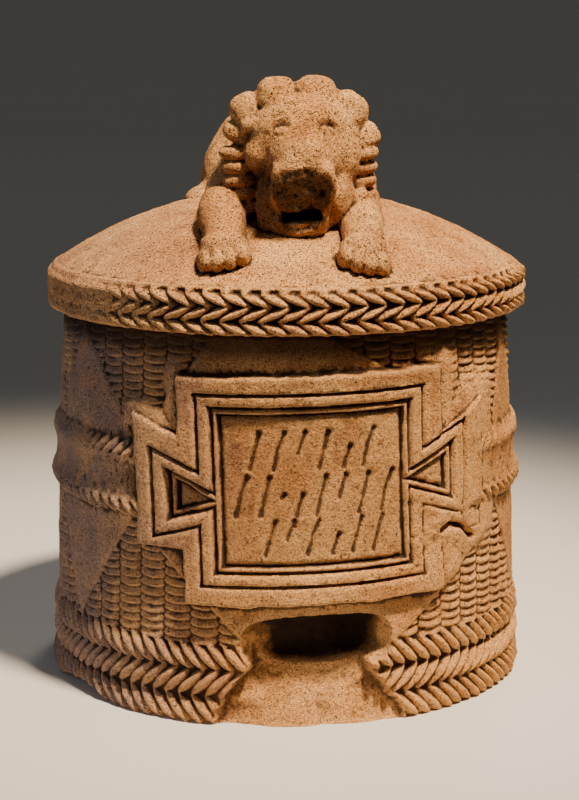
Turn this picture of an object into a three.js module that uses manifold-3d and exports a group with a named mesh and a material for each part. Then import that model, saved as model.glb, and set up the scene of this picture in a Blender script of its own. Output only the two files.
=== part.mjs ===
// A stone cinerary urn carved as a round wicker basket, with a domed lid on which a lion crouches.
// Millimetres, +Z up. The origin is the centre of the underside and the inscription panel faces -Y.

import * as THREE from 'three';
import { mergeVertices } from 'three/addons/utils/BufferGeometryUtils.js';
import Module from 'manifold-3d';

// Vessel
const BODY_HEIGHT = 277;
const BODY_FOOT_RADIUS = 179;
const BODY_MOUTH_RADIUS = 168;
const WALL_AT_MOUTH = 38;
const FLOOR_THICKNESS = 48;
const CAVITY_CORNER = 14;
const CAVITY_SIDES = 32;
const MOUTH_EDGE_BEVEL = 2;

// Braids round the foot and the middle of the vessel
const BODY_STRANDS = 92;
const STRAND_DEPTH = 2.6;
const BRAID_PROUD = 4.2;
const FOOT_ROPE_HEIGHT = 19.6;
const FOOT_ROPES = 3;
const FOOT_LEAN = 4.2;
const WAIST_LOW = 143;
const WAIST_HIGH = 197;
const WAIST_ROPE_LOW_HEIGHT = 17;
const WAIST_ROPE_HIGH_HEIGHT = 18;
const WAIST_LEAN = 3.1;
const WAIST_FILLET_PROUD = 1.6;
const LEDGE = 2.5;

// Wicker fields: triangles of weave between plain triangles
const WEAVE_COLUMNS = 52;
const WEAVE_DEPTH = 2.4;
const PLAIN_PROUD = 0.8;
const FIELD_ROWS = 2;
const FRONT_PLAIN = { left: -37, right: 61, tipLeft: -16, tipRight: 20 };
const SIDE_PLAIN = { left: 61, right: 85, tipLeft: 72, tipRight: 72 };
const BACK_PLAINS = 7;

// Inscription panel with a dovetail handle on each side
const PANEL_AZIMUTH = 7.7;
const PANEL_TILT = 1.3;
const PANEL_WIDTH = 182;
const PANEL_HEIGHT = 161;
const PANEL_CENTRE_HEIGHT = 169.5;
const PANEL_PROUD = 8;
const HANDLE_REACH = 29;
const HANDLE_NECK = 76;
const HANDLE_FLARE = 98;
const BORDER_WIDTH = 12.5;
const MOULDING_WIDTH = 14.5;
const MOULDING_PROUD = 5.5;
const TEXT_FIELD_PROUD = 2.5;

// Lid
const LID_RADIUS = 181;
const LID_SEAT_GAP = 0.3;
const LID_RIM_HEIGHT = 30;
const LID_STRANDS = 80;
const LID_ROPES = 3;
const LID_STRAND_DEPTH = 3;
const LID_LEAN = 5;
const LID_SHOULDER_INSET = 5;
const DOME_RISE = 55;
const DOME_ROWS = 3;
const LIP_CLEARANCE = 3;
const LIP_DEPTH = 9;

// Breaks at the front, the foot and the panel's corner: how far each scoop's centre stands out from
// the foot's radius, and its half sizes along the wall, inwards and up
const BREAKS = [
  { azimuth: 7, out: 30, height: 42, along: 88, deep: 50, tall: 46 },
  { azimuth: 9, out: 6, height: 66, along: 58, deep: 30, tall: 19 },
  { azimuth: -58, out: 6, height: -3, along: 46, deep: 16, tall: 12 },
  { azimuth: 44, out: 8, height: 120, along: 20, deep: 9, tall: 9 },
];
const BREAK_ROUGHNESS = 0.05;

// Lion
const LION_TURN = 9;
const LION_OFFSET_X = -5;
const HEAD_X = 11;
const HEAD_Y = -88;
const HEAD_LIFT = 44.7;
const MANE_LOCKS = 18;
const MANE_RELIEF = 5.5;
const CROWN_RELIEF = 0.45;
const MANE_STEP = 6;
const MANE_TIERS = [
  { behind: -8, length: 16, across: 53, up: 59 },
  { behind: 11, length: 19, across: 60, up: 65 },
];
const MANE_DROP = 12;
const MANE_LENGTH = 58;
const LEFT_FORELEG_X = -42;
const RIGHT_FORELEG_X = 54;
const PAW_TOES = 4;
const TOE_SPREAD = 27;
const TOE_LIFT = 3;

const FULL_TURN = 2 * Math.PI;
const rad = THREE.MathUtils.degToRad;
const mix = THREE.MathUtils.lerp;
const wasm = await Module();
wasm.setup();

// Radius of the plain wall at a height, before any carving stands on it.
function wallRadius(height) {
  return mix(BODY_FOOT_RADIUS, BODY_MOUTH_RADIUS, height / BODY_HEIGHT);
}

// Height of the lid's domed top at a distance from the axis.
function domeHeight(distance) {
  const span = LID_RADIUS - LID_SHOULDER_INSET;
  const sphere = (span ** 2 + DOME_RISE ** 2) / (2 * DOME_RISE);
  const top = lidBase() + LID_RIM_HEIGHT + DOME_RISE;
  return top - sphere + Math.sqrt(sphere ** 2 - Math.min(distance, span) ** 2);
}

// Height at which the lid's rim rests on the vessel.
function lidBase() {
  return BODY_HEIGHT + LID_SEAT_GAP;
}

// Point at an azimuth in degrees from the front, a distance from the axis and a height.
function polar(azimuth, distance, height) {
  const angle = rad(azimuth);
  return new THREE.Vector3(distance * Math.sin(angle), -distance * Math.cos(angle), height);
}

// One ring of points about the axis. radiusOf takes the azimuth in degrees and the point's number.
function ring(count, height, radiusOf, lean = 0) {
  return Array.from({ length: count }, (_, k) => {
    const azimuth = (360 * k) / count;
    return polar(azimuth + lean, radiusOf(azimuth, k), height);
  });
}

// Joins rings of points, in order, into one closed skin. The first and last rings are single points.
function skin(rings) {
  const positions = rings.flat().flatMap((point) => point.toArray());
  const faces = [];
  let start = 0;
  for (let r = 0; r + 1 < rings.length; r += 1) {
    const next = start + rings[r].length;
    bridge(faces, start, rings[r].length, next, rings[r + 1].length);
    start = next;
  }
  const geometry = new THREE.BufferGeometry();
  geometry.setAttribute('position', new THREE.Float32BufferAttribute(positions, 3));
  geometry.setIndex(faces);
  return geometry;
}

// Fills the strip between two rings, which may have different numbers of points.
function bridge(faces, startA, countA, startB, countB) {
  let a = 0;
  let b = 0;
  while (a < countA || b < countB) {
    const stepA = b >= countB || (a < countA && (a + 0.5) / countA <= (b + 0.5) / countB);
    const fromA = startA + (a % countA);
    const fromB = startB + (b % countB);
    if (stepA && countA > 1) {
      faces.push(fromA, startA + ((a + 1) % countA), fromB);
    } else if (!stepA && countB > 1) {
      faces.push(fromA, startB + ((b + 1) % countB), fromB);
    }
    if (stepA) {
      a += 1;
    } else {
      b += 1;
    }
  }
}

// Turns a closed three.js geometry into a solid that can be joined and cut.
function solid(geometry) {
  const bare = (geometry.index ? geometry : mergeVertices(geometry)).clone();
  bare.deleteAttribute('normal');
  bare.deleteAttribute('uv');
  const merged = mergeVertices(bare, 1e-4);
  return new wasm.Manifold(new wasm.Mesh({
    numProp: 3,
    vertProperties: Float32Array.from(merged.attributes.position.array),
    triVerts: Uint32Array.from(merged.index.array),
  }));
}

// Turns a solid back into a three.js geometry.
function geometryOf(shape) {
  const mesh = shape.getMesh();
  const geometry = new THREE.BufferGeometry();
  geometry.setAttribute('position', new THREE.BufferAttribute(mesh.vertProperties, 3));
  geometry.setIndex(new THREE.BufferAttribute(mesh.triVerts, 1));
  geometry.computeVertexNormals();
  return geometry;
}

// Joins a list of solids.
function joined(shapes) {
  return shapes.reduce((sum, shape) => sum.add(shape));
}

// Rounded mass: a sphere with three half sizes, turned in degrees about X, then Y, then Z.
function mass(centre, halfSizes, turn, across, down) {
  const geometry = new THREE.SphereGeometry(1, across, down);
  geometry.rotateX(Math.PI / 2);
  geometry.scale(...halfSizes);
  const euler = new THREE.Euler(...turn.map(rad), 'ZYX');
  geometry.applyMatrix4(new THREE.Matrix4().makeRotationFromEuler(euler));
  geometry.translate(...centre);
  return solid(geometry);
}

// Limb: a tapering round bar through points given as [x, y, z, radius].
function limb(stations, sides) {
  const centres = stations.map((s) => new THREE.Vector3(s[0], s[1], s[2]));
  const path = new THREE.CatmullRomCurve3(centres);
  const frames = path.computeFrenetFrames(stations.length - 1, false);
  const rings = stations.map((s, i) => Array.from({ length: sides }, (_, k) => {
    const angle = (FULL_TURN * k) / sides;
    return centres[i].clone()
      .addScaledVector(frames.normals[i], s[3] * Math.cos(angle))
      .addScaledVector(frames.binormals[i], s[3] * Math.sin(angle));
  }));
  const last = stations.length - 1;
  const cap = (i, way) => [centres[i].clone().addScaledVector(frames.tangents[i], way * stations[i][3] / 2)];
  return solid(skin([cap(0, -1), ...rings, cap(last, 1)]));
}

// The plain triangles of the wicker fields, each from its foot at the waist to its tip.
function plainTriangles() {
  const plains = [FRONT_PLAIN, SIDE_PLAIN];
  const pitch = (360 + FRONT_PLAIN.left - SIDE_PLAIN.right) / BACK_PLAINS;
  for (let n = 0; n < BACK_PLAINS; n += 1) {
    const left = SIDE_PLAIN.right + n * pitch;
    const tip = left + pitch / 2;
    plains.push({ left, right: left + pitch, tipLeft: tip, tipRight: tip });
  }
  return plains;
}

// Whether a place in a wicker field is plain. reach is 0 at the waist and 1 at the field's far edge.
function isPlain(azimuth, reach) {
  return plainTriangles().some((plain) => [-360, 0, 360].some((turn) => {
    const low = mix(plain.left, plain.tipLeft, reach);
    const high = mix(plain.right, plain.tipRight, reach);
    return azimuth + turn > low && azimuth + turn < high;
  }));
}

// Rings of a wicker field between two heights, the second of them at the waist's side if upward is false.
function wickerField(low, high, upward) {
  const count = 2 * WEAVE_COLUMNS;
  return Array.from({ length: FIELD_ROWS + 1 }, (_, row) => {
    const share = row / FIELD_ROWS;
    const height = mix(low, high, share);
    const reach = upward ? share : 1 - share;
    return ring(count, height, (azimuth, k) => {
      const carved = k % 2 ? -WEAVE_DEPTH : 0;
      return wallRadius(height) + (isPlain(azimuth, reach) ? PLAIN_PROUD : carved);
    });
  });
}

// Rings of a braid: its edges, leaning to and fro, with every second point in a groove between strands.
function braid(strands, heights, crestOf, depth, lean, leansFirst) {
  return heights.map((height, row) => {
    const leans = (row % 2 === 0) === leansFirst;
    return ring(2 * strands, height, (_, k) => crestOf(height) - (k % 2 ? depth : 0), leans ? lean : 0);
  });
}

// The vessel's turned and carved form, without its panel and breaks.
function basket() {
  const crest = (height) => wallRadius(height) + BRAID_PROUD;
  const footHeights = Array.from({ length: FOOT_ROPES + 1 }, (_, n) => n * FOOT_ROPE_HEIGHT);
  const footTop = FOOT_ROPES * FOOT_ROPE_HEIGHT;
  const ropeLowTop = WAIST_LOW + WAIST_ROPE_LOW_HEIGHT;
  const ropeHighFoot = WAIST_HIGH - WAIST_ROPE_HIGH_HEIGHT;
  const fillet = (height) => ring(WEAVE_COLUMNS, height, () => wallRadius(height) + WAIST_FILLET_PROUD);
  const cavity = BODY_MOUTH_RADIUS - WALL_AT_MOUTH;
  const cornerHeight = FLOOR_THICKNESS + CAVITY_CORNER;
  return solid(skin([
    [polar(0, 0, 0)],
    ring(CAVITY_SIDES, 0, () => cavity),
    ...braid(BODY_STRANDS, footHeights, crest, STRAND_DEPTH, FOOT_LEAN, true),
    ...wickerField(footTop + LEDGE, WAIST_LOW - LEDGE, false),
    ...braid(BODY_STRANDS, [WAIST_LOW, ropeLowTop], crest, STRAND_DEPTH, WAIST_LEAN, true),
    fillet(ropeLowTop + LEDGE),
    fillet(ropeHighFoot - LEDGE),
    ...braid(BODY_STRANDS, [ropeHighFoot, WAIST_HIGH], crest, STRAND_DEPTH, WAIST_LEAN, false),
    ...wickerField(WAIST_HIGH + LEDGE, BODY_HEIGHT - MOUTH_EDGE_BEVEL, true),
    ring(WEAVE_COLUMNS, BODY_HEIGHT, () => BODY_MOUTH_RADIUS - MOUTH_EDGE_BEVEL),
    ring(CAVITY_SIDES, BODY_HEIGHT, () => cavity),
    ring(CAVITY_SIDES, cornerHeight, () => cavity),
    ring(CAVITY_SIDES, FLOOR_THICKNESS, () => cavity - CAVITY_CORNER),
    [polar(0, 0, FLOOR_THICKNESS)],
  ]));
}

// The panel's outline, drawn in from its edge by an inset, as closed outlines that overlap.
function panelOutlines(inset) {
  const halfWidth = PANEL_WIDTH / 2 - inset;
  const halfHeight = PANEL_HEIGHT / 2 - inset;
  const reach = PANEL_WIDTH / 2 + HANDLE_REACH - inset;
  const slope = (HANDLE_FLARE - HANDLE_NECK) / 2 / HANDLE_REACH;
  const shrink = inset * Math.hypot(1, slope);
  const halfAt = (x) => HANDLE_NECK / 2 + slope * (x - PANEL_WIDTH / 2) - shrink;
  const narrow = PANEL_WIDTH / 2 + (shrink - HANDLE_NECK / 2) / slope;
  const root = Math.max(halfWidth - MOULDING_WIDTH / 3, narrow + 0.5);
  const rectangle = [
    [-halfWidth, -halfHeight], [halfWidth, -halfHeight], [halfWidth, halfHeight], [-halfWidth, halfHeight],
  ];
  const handle = (side) => [
    [side * root, -halfAt(root)], [side * reach, -halfAt(reach)],
    [side * reach, halfAt(reach)], [side * root, halfAt(root)],
  ];
  return [rectangle, handle(1), handle(-1)];
}

// A straight bar with the panel's outline, running outwards through the front wall.
function panelBar(inset) {
  const bars = panelOutlines(inset).map((outline) => {
    const shape = new THREE.Shape(outline.map(([x, y]) => new THREE.Vector2(x, y)));
    const geometry = new THREE.ExtrudeGeometry(shape, { depth: BODY_FOOT_RADIUS, bevelEnabled: false });
    geometry.rotateZ(rad(PANEL_TILT));
    geometry.translate(0, PANEL_CENTRE_HEIGHT, BODY_FOOT_RADIUS / 3);
    geometry.rotateX(Math.PI / 2);
    geometry.rotateZ(rad(PANEL_AZIMUTH));
    return solid(geometry);
  });
  return joined(bars);
}

// A round block whose side stands proud of the plain wall.
function drum(proud) {
  const low = PANEL_CENTRE_HEIGHT - PANEL_HEIGHT;
  const high = PANEL_CENTRE_HEIGHT + PANEL_HEIGHT;
  const profile = [
    new THREE.Vector2(0, low),
    new THREE.Vector2(wallRadius(low) + proud, low),
    new THREE.Vector2(wallRadius(high) + proud, high),
    new THREE.Vector2(0, high),
  ];
  const geometry = new THREE.LatheGeometry(profile, 48);
  geometry.rotateX(Math.PI / 2);
  return solid(geometry);
}

// The raised panel, its moulding and its sunk field, as a curved slab let into the wall.
function panel() {
  const bedded = drum(-WALL_AT_MOUTH / 3);
  const slab = panelBar(0).intersect(drum(PANEL_PROUD)).subtract(bedded);
  const moulding = panelBar(BORDER_WIDTH + MOULDING_WIDTH / 4).subtract(drum(MOULDING_PROUD));
  const field = panelBar(BORDER_WIDTH + MOULDING_WIDTH).subtract(drum(TEXT_FIELD_PROUD));
  return { slab, recess: moulding.add(field) };
}

// A lumpy rounded mass whose shape a break has left in the wall.
function scoop({ azimuth, out, height, along, deep, tall }) {
  const geometry = new THREE.IcosahedronGeometry(1, 2);
  const points = geometry.attributes.position;
  const point = new THREE.Vector3();
  for (let i = 0; i < points.count; i += 1) {
    point.fromBufferAttribute(points, i);
    const lump = 1 + BREAK_ROUGHNESS * Math.sin(5 * point.x + azimuth) * Math.cos(6 * point.z + height);
    points.setXYZ(i, point.x * lump, point.y * lump, point.z * lump);
  }
  geometry.scale(along, deep, tall);
  geometry.rotateZ(rad(azimuth));
  const centre = polar(azimuth, BODY_FOOT_RADIUS + out, height);
  geometry.translate(centre.x, centre.y, centre.z);
  geometry.deleteAttribute('normal');
  geometry.deleteAttribute('uv');
  return solid(mergeVertices(geometry, 1e-3));
}

// The vessel with its panel and its breaks.
function urn() {
  const { slab, recess } = panel();
  return basket().add(slab).subtract(recess).subtract(joined(BREAKS.map(scoop)));
}

// The lid's turned form: a lip that drops into the mouth, a braided rim and a domed top.
function lidDisc() {
  const base = lidBase();
  const rimTop = base + LID_RIM_HEIGHT;
  const lip = BODY_MOUTH_RADIUS - WALL_AT_MOUTH - LIP_CLEARANCE;
  const heights = Array.from({ length: LID_ROPES + 1 }, (_, n) => base + (n * LID_RIM_HEIGHT) / LID_ROPES);
  const crest = (height) => {
    const rise = (height - base) / LID_RIM_HEIGHT;
    return LID_RADIUS - LID_SHOULDER_INSET * (2 * rise - 1) ** 2 / 2;
  };
  const shoulder = LID_RADIUS - LID_SHOULDER_INSET;
  const dome = Array.from({ length: DOME_ROWS }, (_, row) => {
    const distance = shoulder * (1 - (row + 1) / (DOME_ROWS + 1));
    return ring(LID_STRANDS / 2, domeHeight(distance), () => distance);
  });
  return solid(skin([
    [polar(0, 0, base - LIP_DEPTH)],
    ring(LID_STRANDS / 2, base - LIP_DEPTH, () => lip - 2),
    ring(LID_STRANDS / 2, base, () => lip),
    ...braid(LID_STRANDS, heights, crest, LID_STRAND_DEPTH, LID_LEAN, true),
    ring(LID_STRANDS, rimTop + LEDGE, () => shoulder - LEDGE),
    ...dome,
    [polar(0, 0, domeHeight(0))],
  ]));
}

// Turns and shifts the lion's body, which points a little to one side of the urn's front.
function alongLion(shape) {
  return shape.rotate([0, 0, LION_TURN]).translate([LION_OFFSET_X, 0, 0]);
}

// A place on the lid given as [x, y, lift, ...], with its lift above the dome made a height.
function perched([x, y, lift, ...rest]) {
  return [x, y, domeHeight(Math.hypot(x, y)) + lift, ...rest];
}

// One upright ring of points seen from the front, numbered from its top towards +X. Every third point
// is cut in by the relief, less so at the crown.
function crossRing(count, { y, x, z, across, up }, relief = 0) {
  return Array.from({ length: count }, (_, k) => {
    const angle = (FULL_TURN * k) / count;
    const cut = k % 3 === 0 ? relief * mix(CROWN_RELIEF, 1, Math.abs(Math.sin(angle))) : 0;
    return new THREE.Vector3(x + (across - cut) * Math.sin(angle), y, z + (up - cut) * Math.cos(angle));
  });
}

// A form lofted from front to back through upright rings, closed with a point at each end.
function lofted(count, sections) {
  const [first, last] = [sections[0], sections.at(-1)];
  const rings = sections.map((section) => crossRing(section.count ?? count, section, section.relief));
  const nose = new THREE.Vector3(first.x, first.y - first.bulge, first.z);
  const tail = new THREE.Vector3(last.x, last.y + last.bulge, last.z);
  return solid(skin([[nose], ...rings, [tail]]));
}

// Trunk and raised rump, lofted along the lion's own axis.
function trunk() {
  const sections = [
    { y: -62, x: 6, lift: 14, across: 50, up: 48, bulge: 4 },
    { y: -28, x: 4, lift: 7, across: 46, up: 46 },
    { y: 12, x: 2, lift: 4, across: 41, up: 46 },
    { y: 50, x: -4, lift: 10, across: 42, up: 52 },
    { y: 80, x: -6, lift: 16, across: 42, up: 55 },
    { y: 104, x: -5, lift: 12, across: 27, up: 37, bulge: 8 },
  ];
  return lofted(14, sections.map((part) => ({ ...part, z: domeHeight(Math.abs(part.y)) + part.lift })));
}

// Trunk, folded hind legs, and the tail laid round on the dome.
function hindParts() {
  const tail = [[4, 96, 5, 9], [12, 118, 4.5, 8], [42, 113, 3.5, 7], [68, 86, 2, 7], [80, 54, 1.5, 8.5]];
  const parts = [trunk(), limb(tail.map(perched), 5)];
  for (const side of [-1, 1]) {
    parts.push(mass(perched([side * 30, 58, 10]), [22, 42, 36], [10, 0, side * 8], 8, 5));
    parts.push(mass(perched([side * 54, 34, -6.5]), [13, 28, 13], [4, 0, side * -6], 7, 4));
  }
  return parts.map(alongLion);
}

// One foreleg stretched down the dome, with a broad paw and its toes.
function foreleg(x, side) {
  const stations = [[x - side * 5, -62, 15, 23], [x, -96, 14, 19.5], [x, -122, 10, 16.5], [x, -140, 8, 13]];
  const parts = [
    mass(perched([x - side * 9, -48, 12]), [22, 30, 30], [-12, 0, 0], 8, 5),
    limb(stations.map(perched), 7),
    mass(perched([x, -142, 6]), [18, 16, 12], [-20, 0, 0], 7, 4),
  ];
  for (let toe = 0; toe < PAW_TOES; toe += 1) {
    const across = (toe / (PAW_TOES - 1) - 0.5) * TOE_SPREAD;
    const reach = 153 - Math.abs(across) * 0.25;
    parts.push(mass(perched([x + across, -reach, TOE_LIFT]), [5, 9, 9], [-28, 0, 0], 6, 3));
  }
  return parts;
}

// Skull and muzzle, open jaws with the one fang that is left, eyes and cheeks.
function face() {
  const [x, y, z] = perched([HEAD_X, HEAD_Y, HEAD_LIFT]);
  const parts = [
    lofted(12, [
      { y: y - 52, x, z: z - 17, across: 21, up: 14, bulge: 1 },
      { y: y - 44, x, z: z - 15, across: 24, up: 19 },
      { y: y - 28, x, z: z - 10, across: 25, up: 24 },
      { y: y - 15, x, z: z - 5, across: 33, up: 31 },
      { y: y - 3, x, z, across: 41, up: 43 },
      { y: y + 13, x, z: z + 2, across: 49, up: 48, bulge: 3 },
    ]),
    mass([x, y - 26, z - 50], [20, 29, 9], [4, 0, 0], 8, 5),
    mass([x - 1, y - 8, z - 40], [26, 36, 20], [0, 0, 0], 8, 5),
    mass([x - 19, y - 22, z - 36], [8, 22, 17], [0, 0, 0], 7, 4),
    limb([[x + 15, y - 43, z - 28, 4.5], [x + 15, y - 42, z - 46, 4]], 5),
  ];
  for (const side of [-1, 1]) {
    parts.push(mass([x + side * 16, y - 17, z + 19], [8, 7, 6], [0, side * 8, 0], 7, 4));
    parts.push(mass([x + side * 29, y - 12, z - 1], [10, 12, 14], [0, 0, 0], 6, 4));
  }
  return parts;
}

// The mane: locks in two tiers that stand round the face like the bars of a ruff.
function mane() {
  const [x, y, z] = perched([HEAD_X, HEAD_Y, HEAD_LIFT]);
  const axis = { x: x - 2, z: z - MANE_DROP };
  const sections = [{ y: y - 10, x, z, across: 33, up: 35, count: MANE_LOCKS, bulge: 1 }];
  for (const { behind, length, across, up } of MANE_TIERS) {
    const start = y + behind;
    sections.push({ ...axis, y: start, across: across - MANE_STEP, up: up - MANE_STEP, relief: 2 });
    sections.push({ ...axis, y: start + length, across, up, relief: MANE_RELIEF });
  }
  sections.push({ ...axis, y: y + MANE_LENGTH, across: 48, up: 46, count: MANE_LOCKS, bulge: 6 });
  return [lofted(3 * MANE_LOCKS, sections)];
}

// The crouching lion, cut from the same block as the lid.
function lion() {
  return joined([
    ...hindParts(),
    ...foreleg(LEFT_FORELEG_X, -1),
    ...foreleg(RIGHT_FORELEG_X, 1),
    ...face(),
    ...mane(),
  ]);
}

// The lid with its lion. What of the lion would reach below the dome stays inside the disc.
function lid() {
  const aboveSeat = new THREE.BoxGeometry(2 * LID_RADIUS, 2 * LID_RADIUS, 2 * LID_RADIUS);
  aboveSeat.translate(0, 0, lidBase() + LID_RIM_HEIGHT / 3 + LID_RADIUS);
  return lidDisc().add(lion().intersect(solid(aboveSeat)));
}

// A named, coloured mesh of a finished solid.
function piece(name, shape, material) {
  const mesh = new THREE.Mesh(geometryOf(shape), material);
  mesh.name = name;
  return mesh;
}

const stone = { color: 0xb88a5c, roughness: 0.92, metalness: 0 };
const group = new THREE.Group();
group.add(piece('urn', urn(), new THREE.MeshStandardMaterial(stone)));
group.add(piece('lid', lid(), new THREE.MeshStandardMaterial({ ...stone, color: 0xc79a6c })));

export default group;
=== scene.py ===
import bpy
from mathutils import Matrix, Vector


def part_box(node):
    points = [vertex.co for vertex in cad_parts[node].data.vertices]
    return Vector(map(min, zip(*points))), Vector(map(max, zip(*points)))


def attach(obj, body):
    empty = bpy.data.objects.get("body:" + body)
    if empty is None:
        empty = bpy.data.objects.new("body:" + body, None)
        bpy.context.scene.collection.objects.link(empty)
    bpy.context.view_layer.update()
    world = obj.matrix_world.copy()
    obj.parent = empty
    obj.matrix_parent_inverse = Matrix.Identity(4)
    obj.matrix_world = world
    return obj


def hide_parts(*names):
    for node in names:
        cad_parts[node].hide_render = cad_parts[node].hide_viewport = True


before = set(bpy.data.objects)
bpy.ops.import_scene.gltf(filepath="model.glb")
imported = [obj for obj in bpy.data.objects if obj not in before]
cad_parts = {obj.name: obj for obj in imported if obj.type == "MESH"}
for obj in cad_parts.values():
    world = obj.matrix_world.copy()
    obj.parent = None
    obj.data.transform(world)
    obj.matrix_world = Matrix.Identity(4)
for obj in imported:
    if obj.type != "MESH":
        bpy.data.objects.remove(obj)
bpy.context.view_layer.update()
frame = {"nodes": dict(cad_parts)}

import enum
import itertools
import logging
import math
from dataclasses import dataclass, field

import bpy
import numpy as np

# A stone cinerary urn carved as a round wicker basket, with a domed lid on which a lion crouches.
# Sizes are in millimetres and azimuths in degrees round from the front, which faces -Y.

LOG = logging.getLogger("urn")
MM = 0.001
FULL = 360.0
Array = np.ndarray
Point = tuple[float, float, float]

BODY_HEIGHT = (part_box("urn")[1] / MM).z
DOME_CENTRE = 53.2
DOME_RADIUS = 309.1
DOME_EDGE = 176.0
FAR_BELOW = -30.0
TRIANGLE_LIMIT = 196_000
DISC_LIMIT = 96_000


def smoothstep(low: float, high: float, value: Array) -> Array:
    """Eases from 0 at low to 1 at high.

    Args:
        low: where the step starts.
        high: where the step ends.
        value: the values to ease.

    Returns:
        The eased values, from 0 to 1.
    """
    share = np.clip((value - low) / (high - low), 0.0, 1.0)
    return share * share * (3.0 - 2.0 * share)


def mix(low: Array, high: Array, share: Array) -> Array:
    """Blends low into high by share."""
    return low + (high - low) * share


def turned(azimuth: Array) -> Array:
    """Brings azimuths into the span from -180 to 180."""
    return (azimuth + 180.0) % FULL - 180.0


def dome_height(distance: Array) -> Array:
    """Height of the lid's domed top at a distance from the axis."""
    return DOME_CENTRE + np.sqrt(DOME_RADIUS**2 - np.minimum(distance, DOME_EDGE) ** 2)


def wall_places(azimuth: Array, height: Array, radius: Array | float) -> Array:
    """Places on a round wall.

    Args:
        azimuth: places round the wall.
        height: places up the wall.
        radius: the wall's radius.

    Returns:
        Rows of x, y and z.
    """
    angle = np.radians(azimuth)
    return np.stack([radius * np.sin(angle), -radius * np.cos(angle), height], axis=-1).reshape(-1, 3)


def deselect() -> None:
    """Leaves object mode with nothing selected."""
    if bpy.context.object and bpy.context.object.mode != "OBJECT":
        bpy.ops.object.mode_set(mode="OBJECT")
    bpy.ops.object.select_all(action="DESELECT")


def pick(piece: bpy.types.Object) -> None:
    """Selects one piece alone and makes it active.

    Args:
        piece: the piece to select.
    """
    deselect()
    piece.select_set(True)
    bpy.context.view_layer.objects.active = piece


def points_of(piece: bpy.types.Object) -> Array:
    """The places of a piece's vertices, in millimetres.

    Args:
        piece: the piece to read.

    Returns:
        Rows of x, y and z.
    """
    flat = np.empty(len(piece.data.vertices) * 3)
    piece.data.vertices.foreach_get("co", flat)
    return flat.reshape(-1, 3) / MM


def move_points(piece: bpy.types.Object, places: Array) -> None:
    """Puts a piece's vertices at new places, given in millimetres."""
    piece.data.vertices.foreach_set("co", (places * MM).ravel())
    piece.data.update()


def normals_of(piece: bpy.types.Object) -> Array:
    """The outward directions at a piece's vertices.

    Args:
        piece: the piece to read.

    Returns:
        Rows of x, y and z.
    """
    flat = np.empty(len(piece.data.vertices) * 3, dtype=np.float32)
    piece.data.vertex_normals.foreach_get("vector", flat)
    return flat.reshape(-1, 3).astype(float)


def apply_modifier(piece: bpy.types.Object, kind: str, **settings: object) -> None:
    """Adds one modifier to a piece, sets it and applies it.

    Args:
        piece: the piece to change.
        kind: the modifier's type.
        settings: its settings.
    """
    pick(piece)
    modifier = piece.modifiers.new(kind.title(), kind)
    for name, value in settings.items():
        setattr(modifier, name, value)
    bpy.ops.object.modifier_apply(modifier=modifier.name)


def thin_out(piece: bpy.types.Object, limit: int) -> None:
    """Merges the flattest of a piece's faces.

    Args:
        piece: the piece to thin.
        limit: how many triangles are left at most.
    """
    piece.data.calc_loop_triangles()
    count = len(piece.data.loop_triangles)
    if count > limit:
        apply_modifier(piece, "DECIMATE", ratio=limit / count)


def close_up(piece: bpy.types.Object, gap: float) -> None:
    """Merges a piece's doubled vertices and turns its faces outwards.

    Args:
        piece: the piece to close.
        gap: how far apart doubles may lie, in millimetres.
    """
    pick(piece)
    bpy.ops.object.mode_set(mode="EDIT")
    bpy.ops.mesh.select_all(action="SELECT")
    bpy.ops.mesh.remove_doubles(threshold=gap * MM)
    bpy.ops.mesh.select_all(action="SELECT")
    bpy.ops.mesh.normals_make_consistent(inside=False)
    bpy.ops.object.mode_set(mode="OBJECT")


@dataclass(frozen=True)
class Grain:
    """Seeded unevenness of stone, as smooth noise in space."""

    seed: int
    cells: int = 37

    def at(self, points: Array, size: float) -> Array:
        """Noise from -1 to 1 whose lumps are about size millimetres wide.

        Args:
            points: places as rows of x, y and z.
            size: the width of a lump.

        Returns:
            One value for each place.
        """
        lattice = np.random.default_rng(self.seed).random((self.cells,) * 3) * 2.0 - 1.0
        scaled = points / size + self.seed * 0.37
        cell = np.floor(scaled).astype(np.int64)
        share = scaled - cell
        share = share * share * (3.0 - 2.0 * share)
        total = np.zeros(len(points))
        for corner in itertools.product((0, 1), repeat=3):
            weight = np.prod(np.where(corner, share, 1.0 - share), axis=1)
            at = (cell + corner) % self.cells
            total += weight * lattice[at[:, 0], at[:, 1], at[:, 2]]
        return total

    def layered(self, points: Array, size: float, layers: int = 3) -> Array:
        """Noise in layers, each half as wide and half as strong as the last.

        Args:
            points: places as rows of x, y and z.
            size: the width of the widest lumps.
            layers: how many layers are summed.

        Returns:
            One value for each place, about -1 to 1.
        """
        turn = np.array([[0.36, 0.48, -0.8], [-0.8, 0.6, 0.0], [0.48, 0.64, 0.6]])
        total = np.zeros(len(points))
        for layer in range(layers):
            total += self.at(points, size / 2**layer) / 2**layer
            points = points @ turn
        return total


WEATHER = Grain(11)
PITTING = Grain(23)


def pits(points: Array, size: float, spread: float) -> Array:
    """How deep small round pits go at each place, from 0 to 1.

    Args:
        points: places as rows of x, y and z.
        size: the width of a pit.
        spread: noise level above which a pit starts. Lower gives more of them.

    Returns:
        One value for each place.
    """
    return smoothstep(spread, spread + 0.3, PITTING.at(points, size))


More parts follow.
